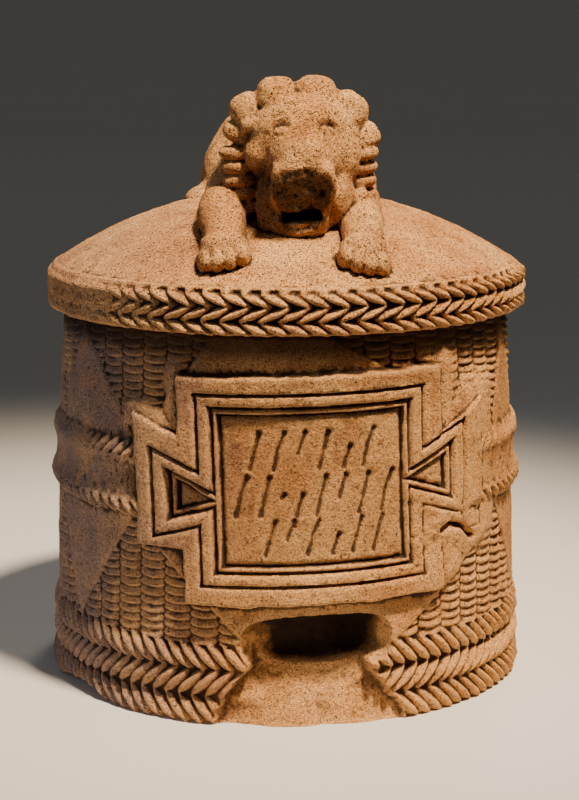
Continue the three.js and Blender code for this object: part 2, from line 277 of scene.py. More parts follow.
def weathered(piece: bpy.types.Object, lumps: float, pit_depth: float = 0.0) -> None:
    """Roughens a piece along its normals as worn, pitted stone.

    Args:
        piece: the piece to roughen.
        lumps: height of the broad unevenness.
        pit_depth: depth of the pits. There are none at 0.
    """
    places = points_of(piece)
    rise = lumps * WEATHER.layered(places, 9.0, 4)
    rise += 0.35 * lumps * WEATHER.layered(places, 3.2, 2)
    if pit_depth:
        rise -= pit_depth * pits(places, 4.2, 0.5)
    move_points(piece, places + normals_of(piece) * rise[:, None])


def softened(relief: Array, rows: float, columns: float) -> Array:
    """Blurs a relief laid out as rows of heights by columns round the wall.

    Args:
        relief: the heights.
        rows: reach of the blur in rows.
        columns: reach of the blur in columns.

    Returns:
        The blurred heights.
    """
    for axis, reach in ((0, rows), (1, columns)):
        steps = max(1, round(reach))
        weights = np.exp(-0.5 * (np.arange(-2 * steps, 2 * steps + 1) / reach) ** 2)
        weights /= weights.sum()
        if axis == 0:
            padded = np.pad(relief, ((2 * steps, 2 * steps), (0, 0)), mode="edge")
            count = relief.shape[0]
            relief = sum(w * padded[k : k + count] for k, w in enumerate(weights))
        else:
            relief = sum(w * np.roll(relief, k - 2 * steps, axis=1) for k, w in enumerate(weights))
    return relief


@dataclass(frozen=True)
class Rope:
    """One row of plaited strands laid round a wall."""

    low: float
    high: float
    strands: int
    lean: float
    crest: float
    valley: float
    plump: float = 0.45
    skew: float = 0.74

    def relief(self, azimuth: Array, height: Array) -> Array:
        """Height of the strands above the plain wall, and far below it outside the row.

        Args:
            azimuth: places round the wall.
            height: places up the wall.

        Returns:
            One height for each place.
        """
        up = (height - self.low) / (self.high - self.low)
        inside = np.clip(up, 0.0, 1.0)
        strand = (azimuth - self.lean * (inside - 0.5)) * self.strands / FULL
        number = np.floor(strand)
        across = (strand - number - 0.5) * 2.0
        uneven = 0.10 * np.sin(number * 12.9898) + 0.06 * np.sin(number * 4.1414)
        body = np.sin(np.pi * np.clip(inside + 0.03 * np.sin(number * 7.7), 0.0, 1.0) ** self.skew)
        width = 0.98 * np.power(np.maximum(body, 1e-4), 0.55)
        bulge = np.power(np.maximum(1.0 - np.abs(across / width) ** 2.0, 0.0), 0.6)
        rounding = np.power(np.maximum(body, 0.0), self.plump)
        rise = self.valley + (self.crest - self.valley) * (1.0 + uneven) * rounding * bulge
        edge = smoothstep(-0.06, 0.0, up) * smoothstep(1.06, 1.0, up)
        return np.where(edge > 0.0, mix(FAR_BELOW, rise, edge), FAR_BELOW)


@dataclass(frozen=True)
class Weave:
    """Columns of overlapping wicker pads, each with a full lower lip."""

    low: float
    high: float
    pitch: float
    columns: int = 52
    groove: float = -2.9
    seat: float = -2.5
    lip: float = 2.2
    sag: float = 0.24

    def relief(self, azimuth: Array, height: Array) -> Array:
        """Height of the pads above the plain wall.

        Args:
            azimuth: places round the wall.
            height: places up the wall.

        Returns:
            One height for each place.
        """
        column = azimuth * self.columns / FULL + 0.25
        number = np.floor(column)
        across = (column - number - 0.5) * 2.0
        wander = 0.09 * np.sin(number * 5.3 + height * 0.11)
        row = (height - self.low) / self.pitch + 0.5 * (number % 2) - self.sag * across**2 + wander
        tier = np.floor(row)
        up = row - tier
        full = 1.0 + 0.16 * np.sin(number * 3.7 + tier * 9.1)
        pad = smoothstep(0.0, 0.22, up) * (1.0 - 0.9 * up**1.1)
        column_form = np.power(np.maximum(1.0 - np.abs(across) ** 3.2, 0.0), 0.7)
        crown = self.seat + (self.lip * full - self.seat) * pad
        return self.groove + (crown - self.groove) * column_form


@dataclass(frozen=True)
class Plain:
    """A plain triangle between two fans of weave, from its foot at the waist to its tip."""

    left: float
    right: float
    tip_left: float
    tip_right: float

    def inside(self, azimuth: Array, reach: Array, radius: Array) -> Array:
        """How far inside the triangle each place is, in millimetres.

        Args:
            azimuth: places round the wall.
            reach: 0 at the waist and 1 at the field's far edge.
            radius: the wall's radius.

        Returns:
            The distance inwards from the nearer long side.
        """
        middle = (self.left + self.right) / 2.0
        around = turned(azimuth - middle) + middle
        low = mix(self.left, self.tip_left, reach)
        high = mix(self.right, self.tip_right, reach)
        return np.minimum(around - low, high - around) * radius * np.pi / 180.0 * 0.9


def outline_depth(outline: list[tuple[float, float]], x: Array, z: Array) -> Array:
    """How far inside a closed outline each place is, and below 0 outside it.

    Args:
        outline: the corners, in order.
        x: places across.
        z: places up.

    Returns:
        The distance inwards from the nearest side.
    """
    nearest = np.full(x.shape, 1e9)
    crossings = np.zeros(x.shape, dtype=int)
    for (ax, az), (bx, bz) in zip(outline, outline[1:] + outline[:1]):
        along = np.array([bx - ax, bz - az])
        share = np.clip(((x - ax) * along[0] + (z - az) * along[1]) / (along @ along), 0.0, 1.0)
        nearest = np.minimum(nearest, np.hypot(x - ax - share * along[0], z - az - share * along[1]))
        spans = (az > z) != (bz > z)
        meets = ax + (z - az) * (bx - ax) / np.where(bz == az, 1e-9, bz - az)
        crossings += spans & (x < meets)
    return np.where(crossings % 2 == 1, nearest, -nearest)


def path_distance(path: list[tuple[float, float]], x: Array, z: Array) -> Array:
    """Distance from each place to a path of straight runs.

    Args:
        path: the path's points, in order.
        x: places across.
        z: places up.

    Returns:
        One distance for each place.
    """
    nearest = np.full(x.shape, 1e9)
    for (ax, az), (bx, bz) in zip(path, path[1:]):
        along = np.array([bx - ax, bz - az])
        share = np.clip(((x - ax) * along[0] + (z - az) * along[1]) / (along @ along), 0.0, 1.0)
        nearest = np.minimum(nearest, np.hypot(x - ax - share * along[0], z - az - share * along[1]))
    return nearest


class Mark(enum.Enum):
    """Plain chisel marks that spell nothing, each as a path in a box from 0 to 1."""

    TALL = ((0.0, 0.0), (1.0, 1.0))
    HIGH = ((0.0, 0.45), (1.0, 1.0))
    LOW = ((0.0, 0.0), (1.0, 0.55))
    BENT = ((0.0, 0.0), (0.35, 0.5), (1.0, 1.0))
    DOT = ((0.0, 0.46), (1.0, 0.54))

    def path(self, x: float, z: float, width: float, height: float) -> list[tuple[float, float]]:
        """The mark's path in a box given by its lower left corner and its size."""
        return [(x + u * width, z + v * height) for u, v in self.value]


@dataclass(frozen=True)
class MarkRow:
    """One row of chisel marks on the panel's field."""

    low: float
    high: float
    left: float
    marks: tuple[tuple[Mark, float, float], ...]

    def cut(self, x: Array, z: Array, depth: float) -> Array:
        """How deep the row's marks cut at each place.

        Args:
            x: places across the panel.
            z: places up the panel.
            depth: the depth of a full stroke.

        Returns:
            One depth for each place.
        """
        deepest = np.zeros(x.shape)
        at = self.left
        for mark, width, gap in self.marks:
            path = mark.path(at, self.low, width, self.high - self.low)
            reach = path_distance(path, x, z)
            deepest = np.maximum(deepest, depth * np.clip(1.5 - reach / 1.9, 0.0, 1.0))
            at += width + gap
        return deepest


@dataclass(frozen=True)
class Panel:
    """The raised panel with a dovetail handle on each side and a sunk field."""

    azimuth: float = 7.7
    tilt: float = 1.3
    centre: float = 169.5
    slab: tuple[tuple[float, float], ...] = (
        (-91, 89), (88, 89), (88, 130), (121, 127), (121, 221), (88, 201),
        (88, 250), (-91, 250), (-91, 207), (-119, 221), (-119, 128), (-91, 127.5),
    )
    frame: tuple[float, float, float, float] = (-79.8, 74.3, 102.5, 238.0)
    handles: tuple[tuple[float, ...], ...] = (
        (-79.8, 144.6, 184.5, -109.3, 134.5, 199.0),
        (74.3, 151.8, 194.3, 106.5, 139.0, 209.0),
    )
    rows: tuple[MarkRow, ...] = (
        MarkRow(186, 211, -46, (
            (Mark.TALL, 7, 9), (Mark.BENT, 8, 9), (Mark.HIGH, 5, 9), (Mark.TALL, 7, 10),
            (Mark.LOW, 5, 9), (Mark.BENT, 8, 0),
        )),
        MarkRow(153, 180, -56, (
            (Mark.BENT, 8, 8), (Mark.TALL, 7, 8), (Mark.DOT, 1.5, 8), (Mark.LOW, 5, 9),
            (Mark.TALL, 7, 9), (Mark.HIGH, 5, 9), (Mark.TALL, 7, 9), (Mark.BENT, 8, 0),
        )),
        MarkRow(126, 149, -37, (
            (Mark.TALL, 7, 8), (Mark.HIGH, 5, 9), (Mark.BENT, 8, 9), (Mark.LOW, 5, 9),
            (Mark.TALL, 7, 8), (Mark.TALL, 7, 0),
        )),
    )

    def places(self, azimuth: Array, height: Array, radius: Array) -> tuple[Array, Array]:
        """Places on the wall as distances across and up the tilted panel.

        Args:
            azimuth: places round the wall.
            height: places up the wall.
            radius: the wall's radius.

        Returns:
            The distances across and the distances up.
        """
        angle = np.radians(turned(azimuth - self.azimuth))
        across = np.where(np.abs(angle) < 1.2, radius * np.sin(angle), 1e3)
        tilt = math.radians(self.tilt)
        up = height - self.centre
        x = across * math.cos(tilt) + up * math.sin(tilt)
        return x, self.centre - across * math.sin(tilt) + up * math.cos(tilt)

    def frame_depth(self, x: Array, z: Array) -> Array:
        """How far inside the frame line each place is, with mitred corners.

        Args:
            x: places across the panel.
            z: places up the panel.

        Returns:
            The distance inwards, below 0 outside the line.
        """
        left, right, low, high = self.frame
        depth = np.minimum(np.minimum(x - left, right - x), np.minimum(z - low, high - z))
        for neck, neck_low, neck_high, end, end_low, end_high in self.handles:
            side = math.copysign(1.0, end - neck)
            under = (end_low - neck_low) / (end - neck)
            over = (end_high - neck_high) / (end - neck)
            below = (z - neck_low - under * (x - neck)) / math.hypot(1.0, under)
            above = (neck_high + over * (x - neck) - z) / math.hypot(1.0, over)
            handle = np.minimum(np.minimum(below, above), side * (end - x))
            depth = np.maximum(depth, handle)
        return depth

    def steps(self, depth: Array) -> Array:
        """The mouldings' profile.

        Args:
            depth: distance inwards from the frame line.

        Returns:
            The height above the plain wall.
        """
        at = [-2.0, -0.8, 0.0, 1.4, 2.4, 7.4, 8.4, 9.6, 10.8, 11.8, 12.8, 13.8, 14.6, 15.6, 18.0]
        rise = [7.8, 7.8, 4.6, 4.4, 7.5, 7.3, 6.2, 2.2, 2.4, 5.0, 5.2, 4.6, 0.2, 0.6, 2.6]
        return np.interp(depth, at, rise)

    def dress(self, relief: Array, azimuth: Array, height: Array, radius: Array) -> Array:
        """Lays the panel over a wall's relief.

        Args:
            relief: heights of the wall as carved so far.
            azimuth: places round the wall.
            height: places up the wall.
            radius: the plain wall's radius.

        Returns:
            The new heights.
        """
        x, z = self.places(azimuth, height, radius)
        edge = outline_depth(list(self.slab), x, z)
        inner = self.frame_depth(x, z)
        in_handle = smoothstep(70.0, 84.0, np.abs(x + 2.0))
        rise = self.steps(inner)
        rise = rise - 3.4 * smoothstep(8.0, 11.0, inner) * smoothstep(-78.0, -86.0, x)
        places = np.stack([x.ravel(), z.ravel(), np.zeros(x.size)], axis=1)
        rubbed = smoothstep(34.0, 62.0, x) * smoothstep(176.0, 140.0, z) * smoothstep(98.0, 110.0, z)
        rubbed = rubbed * smoothstep(-0.5, 0.35, WEATHER.layered(places, 26.0, 2).reshape(x.shape))
        flat = 5.4 - 1.2 * in_handle
        rise = mix(rise, np.minimum(rise, flat), 0.8 * rubbed)
        gravel = WEATHER.layered(places, 4.2, 2).reshape(x.shape)
        rise = rise + rubbed * 1.1 * np.minimum(gravel, 0.25)
        for row in self.rows:
            rise = rise - row.cut(x, z, 2.1) * (1.0 - 0.75 * rubbed) * (inner > 13.0)
        rim = edge + 0.9 * WEATHER.layered(places, 13.0, 3).reshape(x.shape)
        rounded = rise - 1.6 * np.clip(1.0 - rim / 2.6, 0.0, 1.0) ** 2
        fade = smoothstep(27.0, 2.0, -edge) * smoothstep(70.0, 96.0, x) * smoothstep(84.0, 100.0, z)
        shoulder = np.maximum(relief, 5.2 * fade + relief * (1.0 - fade))
        nook = smoothstep(15.0, 3.0, -edge) * smoothstep(-84.0, -94.0, x) * smoothstep(206.0, 214.0, z)
        ground = np.where(x > 0.0, shoulder, mix(relief, np.maximum(relief, 4.4), nook))
        return mix(ground, rounded, smoothstep(-0.55, 0.55, rim))


@dataclass(frozen=True)
class Break:
    """A rounded hollow where stone has broken away."""

    azimuth: float
    out: float
    height: float
    along: float
    deep: float
    tall: float
    square: float = 2.0

    def wall(self, azimuth: Array, height: Array, foot_radius: float, rough: Array) -> Array:
        """Radius at which the hollow starts in each direction.

        Args:
            azimuth: places round the wall.
            height: places up the wall.
            foot_radius: the wall's radius at the foot.
            rough: unevenness of the broken face, in millimetres.

        Returns:
            The radius, very large where there is no hollow.
        """
        angle = np.radians(turned(azimuth - self.azimuth))
        reach = foot_radius + self.out
        across = np.sin(angle) ** 2 / self.along**2 + np.cos(angle) ** 2 / self.deep**2
        towards = reach * np.cos(angle) / self.deep**2
        rest = reach**2 / self.deep**2 + np.abs((height - self.height) / self.tall) ** self.square - 1.0
        under = towards**2 - across * rest
        hit = (towards - np.sqrt(np.maximum(under, 0.0))) / across
        met = (under > 0.0) & (np.cos(angle) > 0.2)
        return np.where(met, hit + rough, 1e4)


@dataclass
class Vessel:
    """The hollow vessel: plaited foot and waist, two wicker fields, the panel and the breaks."""

    foot_radius: float = 178.9
    taper: float = 0.0405
    bore: float = 130.0
    floor: float = 48.0
    corner: float = 14.0
    row_step: float = 0.82
    front_step: float = 0.29
    back_step: float = 0.44
    waist: tuple[float, float] = (143.0, 197.0)
    strands: int = 106
    split_azimuth: float = 6.4
    split_half_low: float = 75.0
    split_half_high: float = 47.0
    split_top: float = 46.0
    split_depth: float = 3.5
    split_slope: float = 0.36
    cleft: tuple[tuple[float, float], ...] = ((89, 131), (96, 134), (106, 130), (113, 121))
    panel: Panel = field(default_factory=Panel)
    breaks: tuple[Break, ...] = (
        Break(7.5, 0, 60.5, 56, 37, 20.5, 3.6),
        Break(14, 0, 62, 32, 39, 19, 4.5),
        Break(-58, 6, -3, 46, 16, 12),
        Break(44, 8, 120, 20, 9, 9),
    )

    def radius(self, height: Array) -> Array:
        """Radius of the plain wall at a height."""
        return self.foot_radius - self.taper * height

    def ropes(self) -> list[Rope]:
        """The plaited rows of the foot and the waist.

        Returns:
            The rows from the foot upwards.
        """
        low, high = self.waist
        return [
            Rope(-1.0, 19.8, self.strands, -6.2, 4.2, -2.4),
            Rope(19.4, 39.6, self.strands, 6.2, 4.0, -2.4, 0.4, 1.0),
            Rope(39.2, 60.0, self.strands, -6.0, 4.2, -2.4),
            Rope(low, low + 17.0, self.strands, -4.6, 7.8, 1.4, 0.6, 1.0),
            Rope(high - 18.0, high, self.strands, 4.6, 8.0, 1.4, 0.6, 1.0),
        ]

    def triangles(self, upper: bool) -> list[Plain]:
        """The plain triangles of one field.

        Args:
            upper: whether the upper field is meant.

        Returns:
            The triangles round the wall.
        """
        if upper:
            seen = [Plain(-73, -37, -59, -59), Plain(-37, 58, -17, 10), Plain(61, 85, 69.5, 69.5)]
        else:
            seen = [Plain(-73, -38, -59, -58), Plain(-38, 64, -9, 27), Plain(61, 85, 79, 79)]
        apexes = [85.0, 118.7, 152.3, 186.0, 219.7, 253.3, 287.0]
        hidden = [Plain(a, b, (a + b) / 2, (a + b) / 2) for a, b in zip(apexes, apexes[1:])]
        return seen + hidden

    def fields(self, azimuth: Array, height: Array) -> Array:
        """Relief of the two wicker fields with their plain triangles.

        Args:
            azimuth: places round the wall.
            height: places up the wall.

        Returns:
            One height for each place, far below the wall outside the fields.
        """
        low, high = self.waist
        lower = Weave(59.0, low, 6.25)
        upper = Weave(high, BODY_HEIGHT, 5.9)
        relief = np.full(azimuth.shape, FAR_BELOW)
        for weave, is_upper in ((lower, False), (upper, True)):
            share = (height - weave.low) / (weave.high - weave.low)
            reach = share if is_upper else 1.0 - share
            woven = weave.relief(azimuth, height)
            inside = np.full(azimuth.shape, -99.0)
            for plain in self.triangles(is_upper):
                inside = np.maximum(inside, plain.inside(azimuth, reach, self.radius(height)))
            plate = 1.1 - 1.9 * np.exp(-(((inside - 0.2) / 0.9) ** 2))
            mixed = mix(woven, plate, smoothstep(-0.8, 0.2, inside))
            relief = np.where((share >= -0.02) & (share <= 1.0), mixed, relief)
        return relief

    def waist_fillet(self, azimuth: Array, height: Array) -> Array:
        """Relief of the plain hollow between the waist's two ropes.

        Args:
            azimuth: places round the wall; not used.
            height: places up the wall.

        Returns:
            One height for each place.
        """
        low, high = self.waist
        share = (height - low - 15.0) / (high - low - 31.0)
        hollow = 3.2 + 1.6 * (2.0 * share - 1.0) ** 2
        return np.where((share > -0.2) & (share < 1.2), hollow, FAR_BELOW)

    def wear(self, azimuth: Array, height: Array) -> Array:
        """How far the carving is worn away at each place, from 0 to 1.

        Args:
            azimuth: places round the wall.
            height: places up the wall.

        Returns:
            One share for each place.
        """
        places = wall_places(azimuth, height, self.radius(height))
        patches = smoothstep(-0.2, 0.7, WEATHER.layered(places, 48.0, 3)).reshape(azimuth.shape)
        around = turned(azimuth)
        low, high = self.waist
        left = smoothstep(-60.0, -85.0, around) * smoothstep(-150.0, -110.0, around)
        upper_rope = smoothstep(high - 22.0, high - 16.0, height) * smoothstep(high + 3.0, high, height)
        rubbed = upper_rope * (smoothstep(-47.0, -60.0, around) + smoothstep(52.0, 66.0, around))
        return np.clip(0.02 + 0.3 * patches + 0.4 * left + 0.8 * rubbed, 0.0, 1.0)

    def wall(self, azimuth: Array, height: Array) -> Array:
        """Radius of the carved and broken wall at each place.

        Args:
            azimuth: places round the wall, as rows of heights by columns.
            height: places up the wall, laid out the same way.

        Returns:
            One radius for each place.
        """
        relief = self.fields(azimuth, height)
        relief = np.maximum(relief, self.waist_fillet(azimuth, height))
        for rope in self.ropes():
            relief = np.maximum(relief, rope.relief(azimuth, height))
        relief = np.maximum(relief, -3.2)
        worn = softened(relief, 3.2, 4.6)
        relief = mix(softened(relief, 0.7, 0.8), worn, self.wear(azimuth, height))
        plain = self.radius(height)
        relief = self.panel.dress(relief, azimuth, height, plain)
        cleft = path_distance(list(self.cleft), *self.panel.places(azimuth, height, plain))
        relief = relief - 6.5 * smoothstep(3.4, 0.6, cleft)
        relief = relief - 2.2 * smoothstep(BODY_HEIGHT - 2.5, BODY_HEIGHT, height)
        radius = plain + relief
        return self.broken(radius, azimuth, height)

    def broken(self, radius: Array, azimuth: Array, height: Array) -> Array:
        """Takes the breaks out of the carved wall.

        Args:
            radius: the carved wall.
            azimuth: places round the wall.
            height: places up the wall.

        Returns:
            The new radius at each place.
        """
        places = wall_places(azimuth, height, 180)
        rough = 3.0 * WEATHER.layered(places, 34.0, 4) + 1.6 * np.abs(PITTING.layered(places, 12.0, 4))
        rough = rough.reshape(azimuth.shape)
        radius = np.minimum(radius, self.broken_face(azimuth, height, rough))
        for gap in self.breaks:
            radius = np.minimum(radius, gap.wall(azimuth, height, self.foot_radius, rough))
        return radius

    def broken_face(self, azimuth: Array, height: Array, rough: Array) -> Array:
        """The front of the foot where the plaits have split off, sloping out to the base.

        Args:
            azimuth: places round the wall.
            height: places up the wall.
            rough: unevenness of the broken face, in millimetres.

        Returns:
            The radius of the face, beyond the wall where nothing is broken.
        """
        around = turned(azimuth - self.split_azimuth)
        across = self.foot_radius * np.radians(around) + 2.2 * rough
        half = mix(self.split_half_low, self.split_half_high, smoothstep(2.0, self.split_top, height))
        inside = smoothstep(0.0, 5.0, half - np.abs(across)) * smoothstep(66.0, 57.0, height + rough)
        depth = self.split_depth + self.split_slope * np.minimum(height, self.split_top)
        return self.foot_radius - depth * inside + 7.0 * (1.0 - inside) + rough * inside

    def columns(self) -> Array:
        """Azimuths of the grid's columns, closer together at the front.

        Returns:
            The azimuths, once round.
        """
        front = np.arange(-76.0, 90.0, self.front_step)
        back = np.linspace(90.0, 284.0, int(194.0 / self.back_step) + 1)
        return np.concatenate([front, back])

    def build(self) -> bpy.types.Object:
        """Makes the vessel's closed skin.

        Returns:
            The finished piece.
        """
        azimuth = self.columns()
        heights = np.arange(0.0, BODY_HEIGHT - 0.2, self.row_step)
        heights = np.append(heights, BODY_HEIGHT)
        around, up = np.meshgrid(azimuth, heights)
        outer = self.wall(around, up)
        piece = rolled_grid("urn_stone", azimuth, self.skin_rows(outer, heights))
        weathered(piece, 0.34, 0.3)
        thin_out(piece, TRIANGLE_LIMIT)
        self.flatten(piece)
        self.painted_shade_and_bare_marks(piece)
        return piece

    def painted_shade_and_bare_marks(self, piece: bpy.types.Object) -> None:
        """Keeps on the vessel where it is darkened and where the stone is freshly broken: painted shadow
        under the lid's overhang, painted shade along the top of the panel, painted shadow in the front
        break's deep hollow, and the panel's sunk field a little darker.

        Args:
            piece: the finished vessel.
        """
        places = points_of(piece)
        azimuth = np.degrees(np.arctan2(places[:, 0], -places[:, 1]))
        height = places[:, 2]
        plain = self.radius(height)
        sunk = plain - np.hypot(places[:, 0], places[:, 1])
        near = np.abs(turned(azimuth - 8.0))
        front = smoothstep(34.0, 28.0, near)
        # Painted shadow in the deep hollow of the front break, beneath the panel's lower edge.
        break_shadow = smoothstep(19.0, 25.0, sunk + 8.0 * smoothstep(66.0, 74.0, height))
        break_shadow = break_shadow * smoothstep(38.0, 45.0, height) * smoothstep(88.0, 82.0, height)
        x, z = self.panel.places(azimuth, height, plain)
        inner = self.panel.frame_depth(x, z)
        field_darkening = 0.16 * smoothstep(12.0, 15.0, inner)
        # Painted shade along the top band of the panel, up to where the painted shadow under the lid
        # begins.
        panel_top_shade = 0.2 * smoothstep(226.0, 236.0, z) * (np.abs(x) < 92.0) * smoothstep(254.0, 249.0, z)
        # Painted shadow cast by the lid's overhanging rim on the top of the wall.
        under_lid_shadow = 0.86 * smoothstep(253.0, 268.0, height)
        shade = np.maximum(np.maximum(field_darkening, panel_top_shade), under_lid_shadow)
        # The kept dark mark: painted shadow under the lid and in the break's hollow, painted shade at the
        # top of the panel, and the field's darkening.
        keep(piece, "stain_and_painted_shade", np.maximum(shade, 0.97 * break_shadow * front))
        keep(piece, "bare", smoothstep(2.0, 6.0, sunk) * smoothstep(96.0, 90.0, height) * front)

    def skin_rows(self, outer: Array, heights: Array) -> list[tuple[Array, Array]]:
        """The skin's rows from the middle of the underside, up the wall and down the bore.

        Args:
            outer: radius of the carved wall, one row for each height.
            heights: the wall's heights.

        Returns:
            For each row its radii and its heights.
        """
        one = np.ones(outer.shape[1])
        rows = [(share * outer[0], 0.0 * one) for share in (0.0, 0.3, 0.6, 0.85, 0.97)]
        rows += [(outer[k], height * one) for k, height in enumerate(heights)]
        for share in (0.12, 0.4, 0.7, 0.93):
            rows.append((mix(outer[-1], self.bore, share), BODY_HEIGHT * one))
        rows.append((self.bore * one, (BODY_HEIGHT - 1.5) * one))
        for share in np.linspace(0.02, 1.0, 9):
            rows.append((self.bore * one, mix(BODY_HEIGHT, self.floor + self.corner, share) * one))
        for angle in np.linspace(18.0, 90.0, 5):
            turn = math.radians(angle)
            inset = self.corner * (1.0 - math.cos(turn))
            rows.append(((self.bore - inset) * one,
                         (self.floor + self.corner * (1.0 - math.sin(turn))) * one))
        rows += [((self.bore - self.corner) * share * one, self.floor * one) for share in (0.6, 0.25, 0.0)]
        return rows

    def flatten(self, piece: bpy.types.Object) -> None:
        """Keeps the underside and the mouth level, so that the vessel stands and the lid seats.

        Args:
            piece: the vessel.
        """
        places = points_of(piece)
        places[:, 2] = np.clip(places[:, 2], 0.0, BODY_HEIGHT)
        move_points(piece, places)


def rolled_grid(name: str, azimuth: Array, rows: list[tuple[Array, Array]]) -> bpy.types.Object:
    """Rolls a grid up into a closed skin round the axis.

    Args:
        name: the piece's name.
        azimuth: azimuths of the columns.
        rows: for each row its radii and its heights, from one pole to the other.

    Returns:
        The new piece, closed at its seam and poles.
    """
    deselect()
    count = len(azimuth)
    bpy.ops.mesh.primitive_grid_add(x_subdivisions=count, y_subdivisions=len(rows) - 1, size=1.0)
    piece = bpy.context.object
    piece.name = name
    piece.data.name = name
    flat = points_of(piece) * MM
    column = np.rint((flat[:, 0] + 0.5) * count).astype(int) % count
    row = np.rint((flat[:, 1] + 0.5) * (len(rows) - 1)).astype(int)
    radius = np.stack([r for r, _ in rows])[row, column]
    height = np.stack([h for _, h in rows])[row, column]
    angle = np.radians(azimuth)[column]
    move_points(piece, np.stack([radius * np.sin(angle), -radius * np.cos(angle), height], axis=1))
    close_up(piece, 0.01)
    return piece


class Clay:
    """Rounded masses laid together and then made one skin."""

    def __init__(self, name: str) -> None:
        """Starts with nothing laid.

        Args:
            name: the name of what is made.
        """
        self.name = name
        self.parts: list[bpy.types.Object] = []
        deselect()
        bpy.ops.mesh.primitive_uv_sphere_add(segments=28, ring_count=16, radius=1.0)
        self.ball = bpy.context.object
        flat = np.empty(len(self.ball.data.vertices) * 3)
        self.ball.data.vertices.foreach_get("co", flat)
        self.unit = flat.reshape(-1, 3)

    def lay(self, places: Array) -> None:
        """Lays one copy of the ball.

        Args:
            places: where its vertices go.
        """
        part = self.ball.copy()
        part.data = self.ball.data.copy()
        bpy.context.collection.objects.link(part)
        move_points(part, places)
        self.parts.append(part)

    def mass(
        self, centre: Point, half: Point, turn: Point = (0, 0, 0), boxy: float = 1.0, taper: float = 1.0
    ) -> None:
        """Lays one rounded mass.

        Args:
            centre: its middle.
            half: its half sizes.
            turn: its turn in degrees about X, then Y, then Z.
            boxy: 1 for an egg, less for squarer sides.
            taper: how wide its back is beside its front.
        """
        unit = np.sign(self.unit) * np.abs(self.unit) ** boxy
        unit[:, 0] *= mix(1.0, taper, (unit[:, 1] + 1.0) / 2.0)
        self.lay(unit * half @ turning(turn).T + centre)

    def limb(self, stations: list[tuple[float, float, float, float]], steps: int = 5) -> None:
        """Lays a tapering round bar.

        Args:
            stations: points of its middle line with the radius at each.
            steps: how many balls are laid between two stations.
        """
        for start, end in zip(stations, stations[1:]):
            for k in range(steps + 1):
                x, y, z, r = (mix(a, b, k / steps) for a, b in zip(start, end))
                self.lay(self.unit * r + (x, y, z))

    def made(self, voxel: float, smoothing: int) -> bpy.types.Object:
        """Makes all that was laid one closed skin.

        Args:
            voxel: the size of a cell of the skin.
            smoothing: how many times the skin is smoothed.

        Returns:
            The piece.
        """
        deselect()
        for part in self.parts:
            part.select_set(True)
        bpy.context.view_layer.objects.active = self.parts[0]
        bpy.ops.object.join()
        piece = bpy.context.object
        bpy.data.objects.remove(self.ball)
        piece.name = self.name
        apply_modifier(piece, "REMESH", mode="VOXEL", voxel_size=voxel * MM)
        if smoothing:
            apply_modifier(piece, "SMOOTH", factor=0.5, iterations=smoothing)
        return piece

    def add(self, piece: bpy.types.Object) -> None:
        """Lays a finished piece in with the masses."""
        self.parts.append(piece)


def turning(turn: Point) -> Array:
    """The matrix of a turn.

    Args:
        turn: degrees about X, then Y, then Z.

    Returns:
        The matrix.
    """
    x, y, z = (math.radians(angle) for angle in turn)
    about_x = np.array([[1, 0, 0], [0, math.cos(x), -math.sin(x)], [0, math.sin(x), math.cos(x)]])
    about_y = np.array([[math.cos(y), 0, math.sin(y)], [0, 1, 0], [-math.sin(y), 0, math.cos(y)]])
    about_z = np.array([[math.cos(z), -math.sin(z), 0], [math.sin(z), math.cos(z), 0], [0, 0, 1]])
    return about_z @ about_y @ about_x


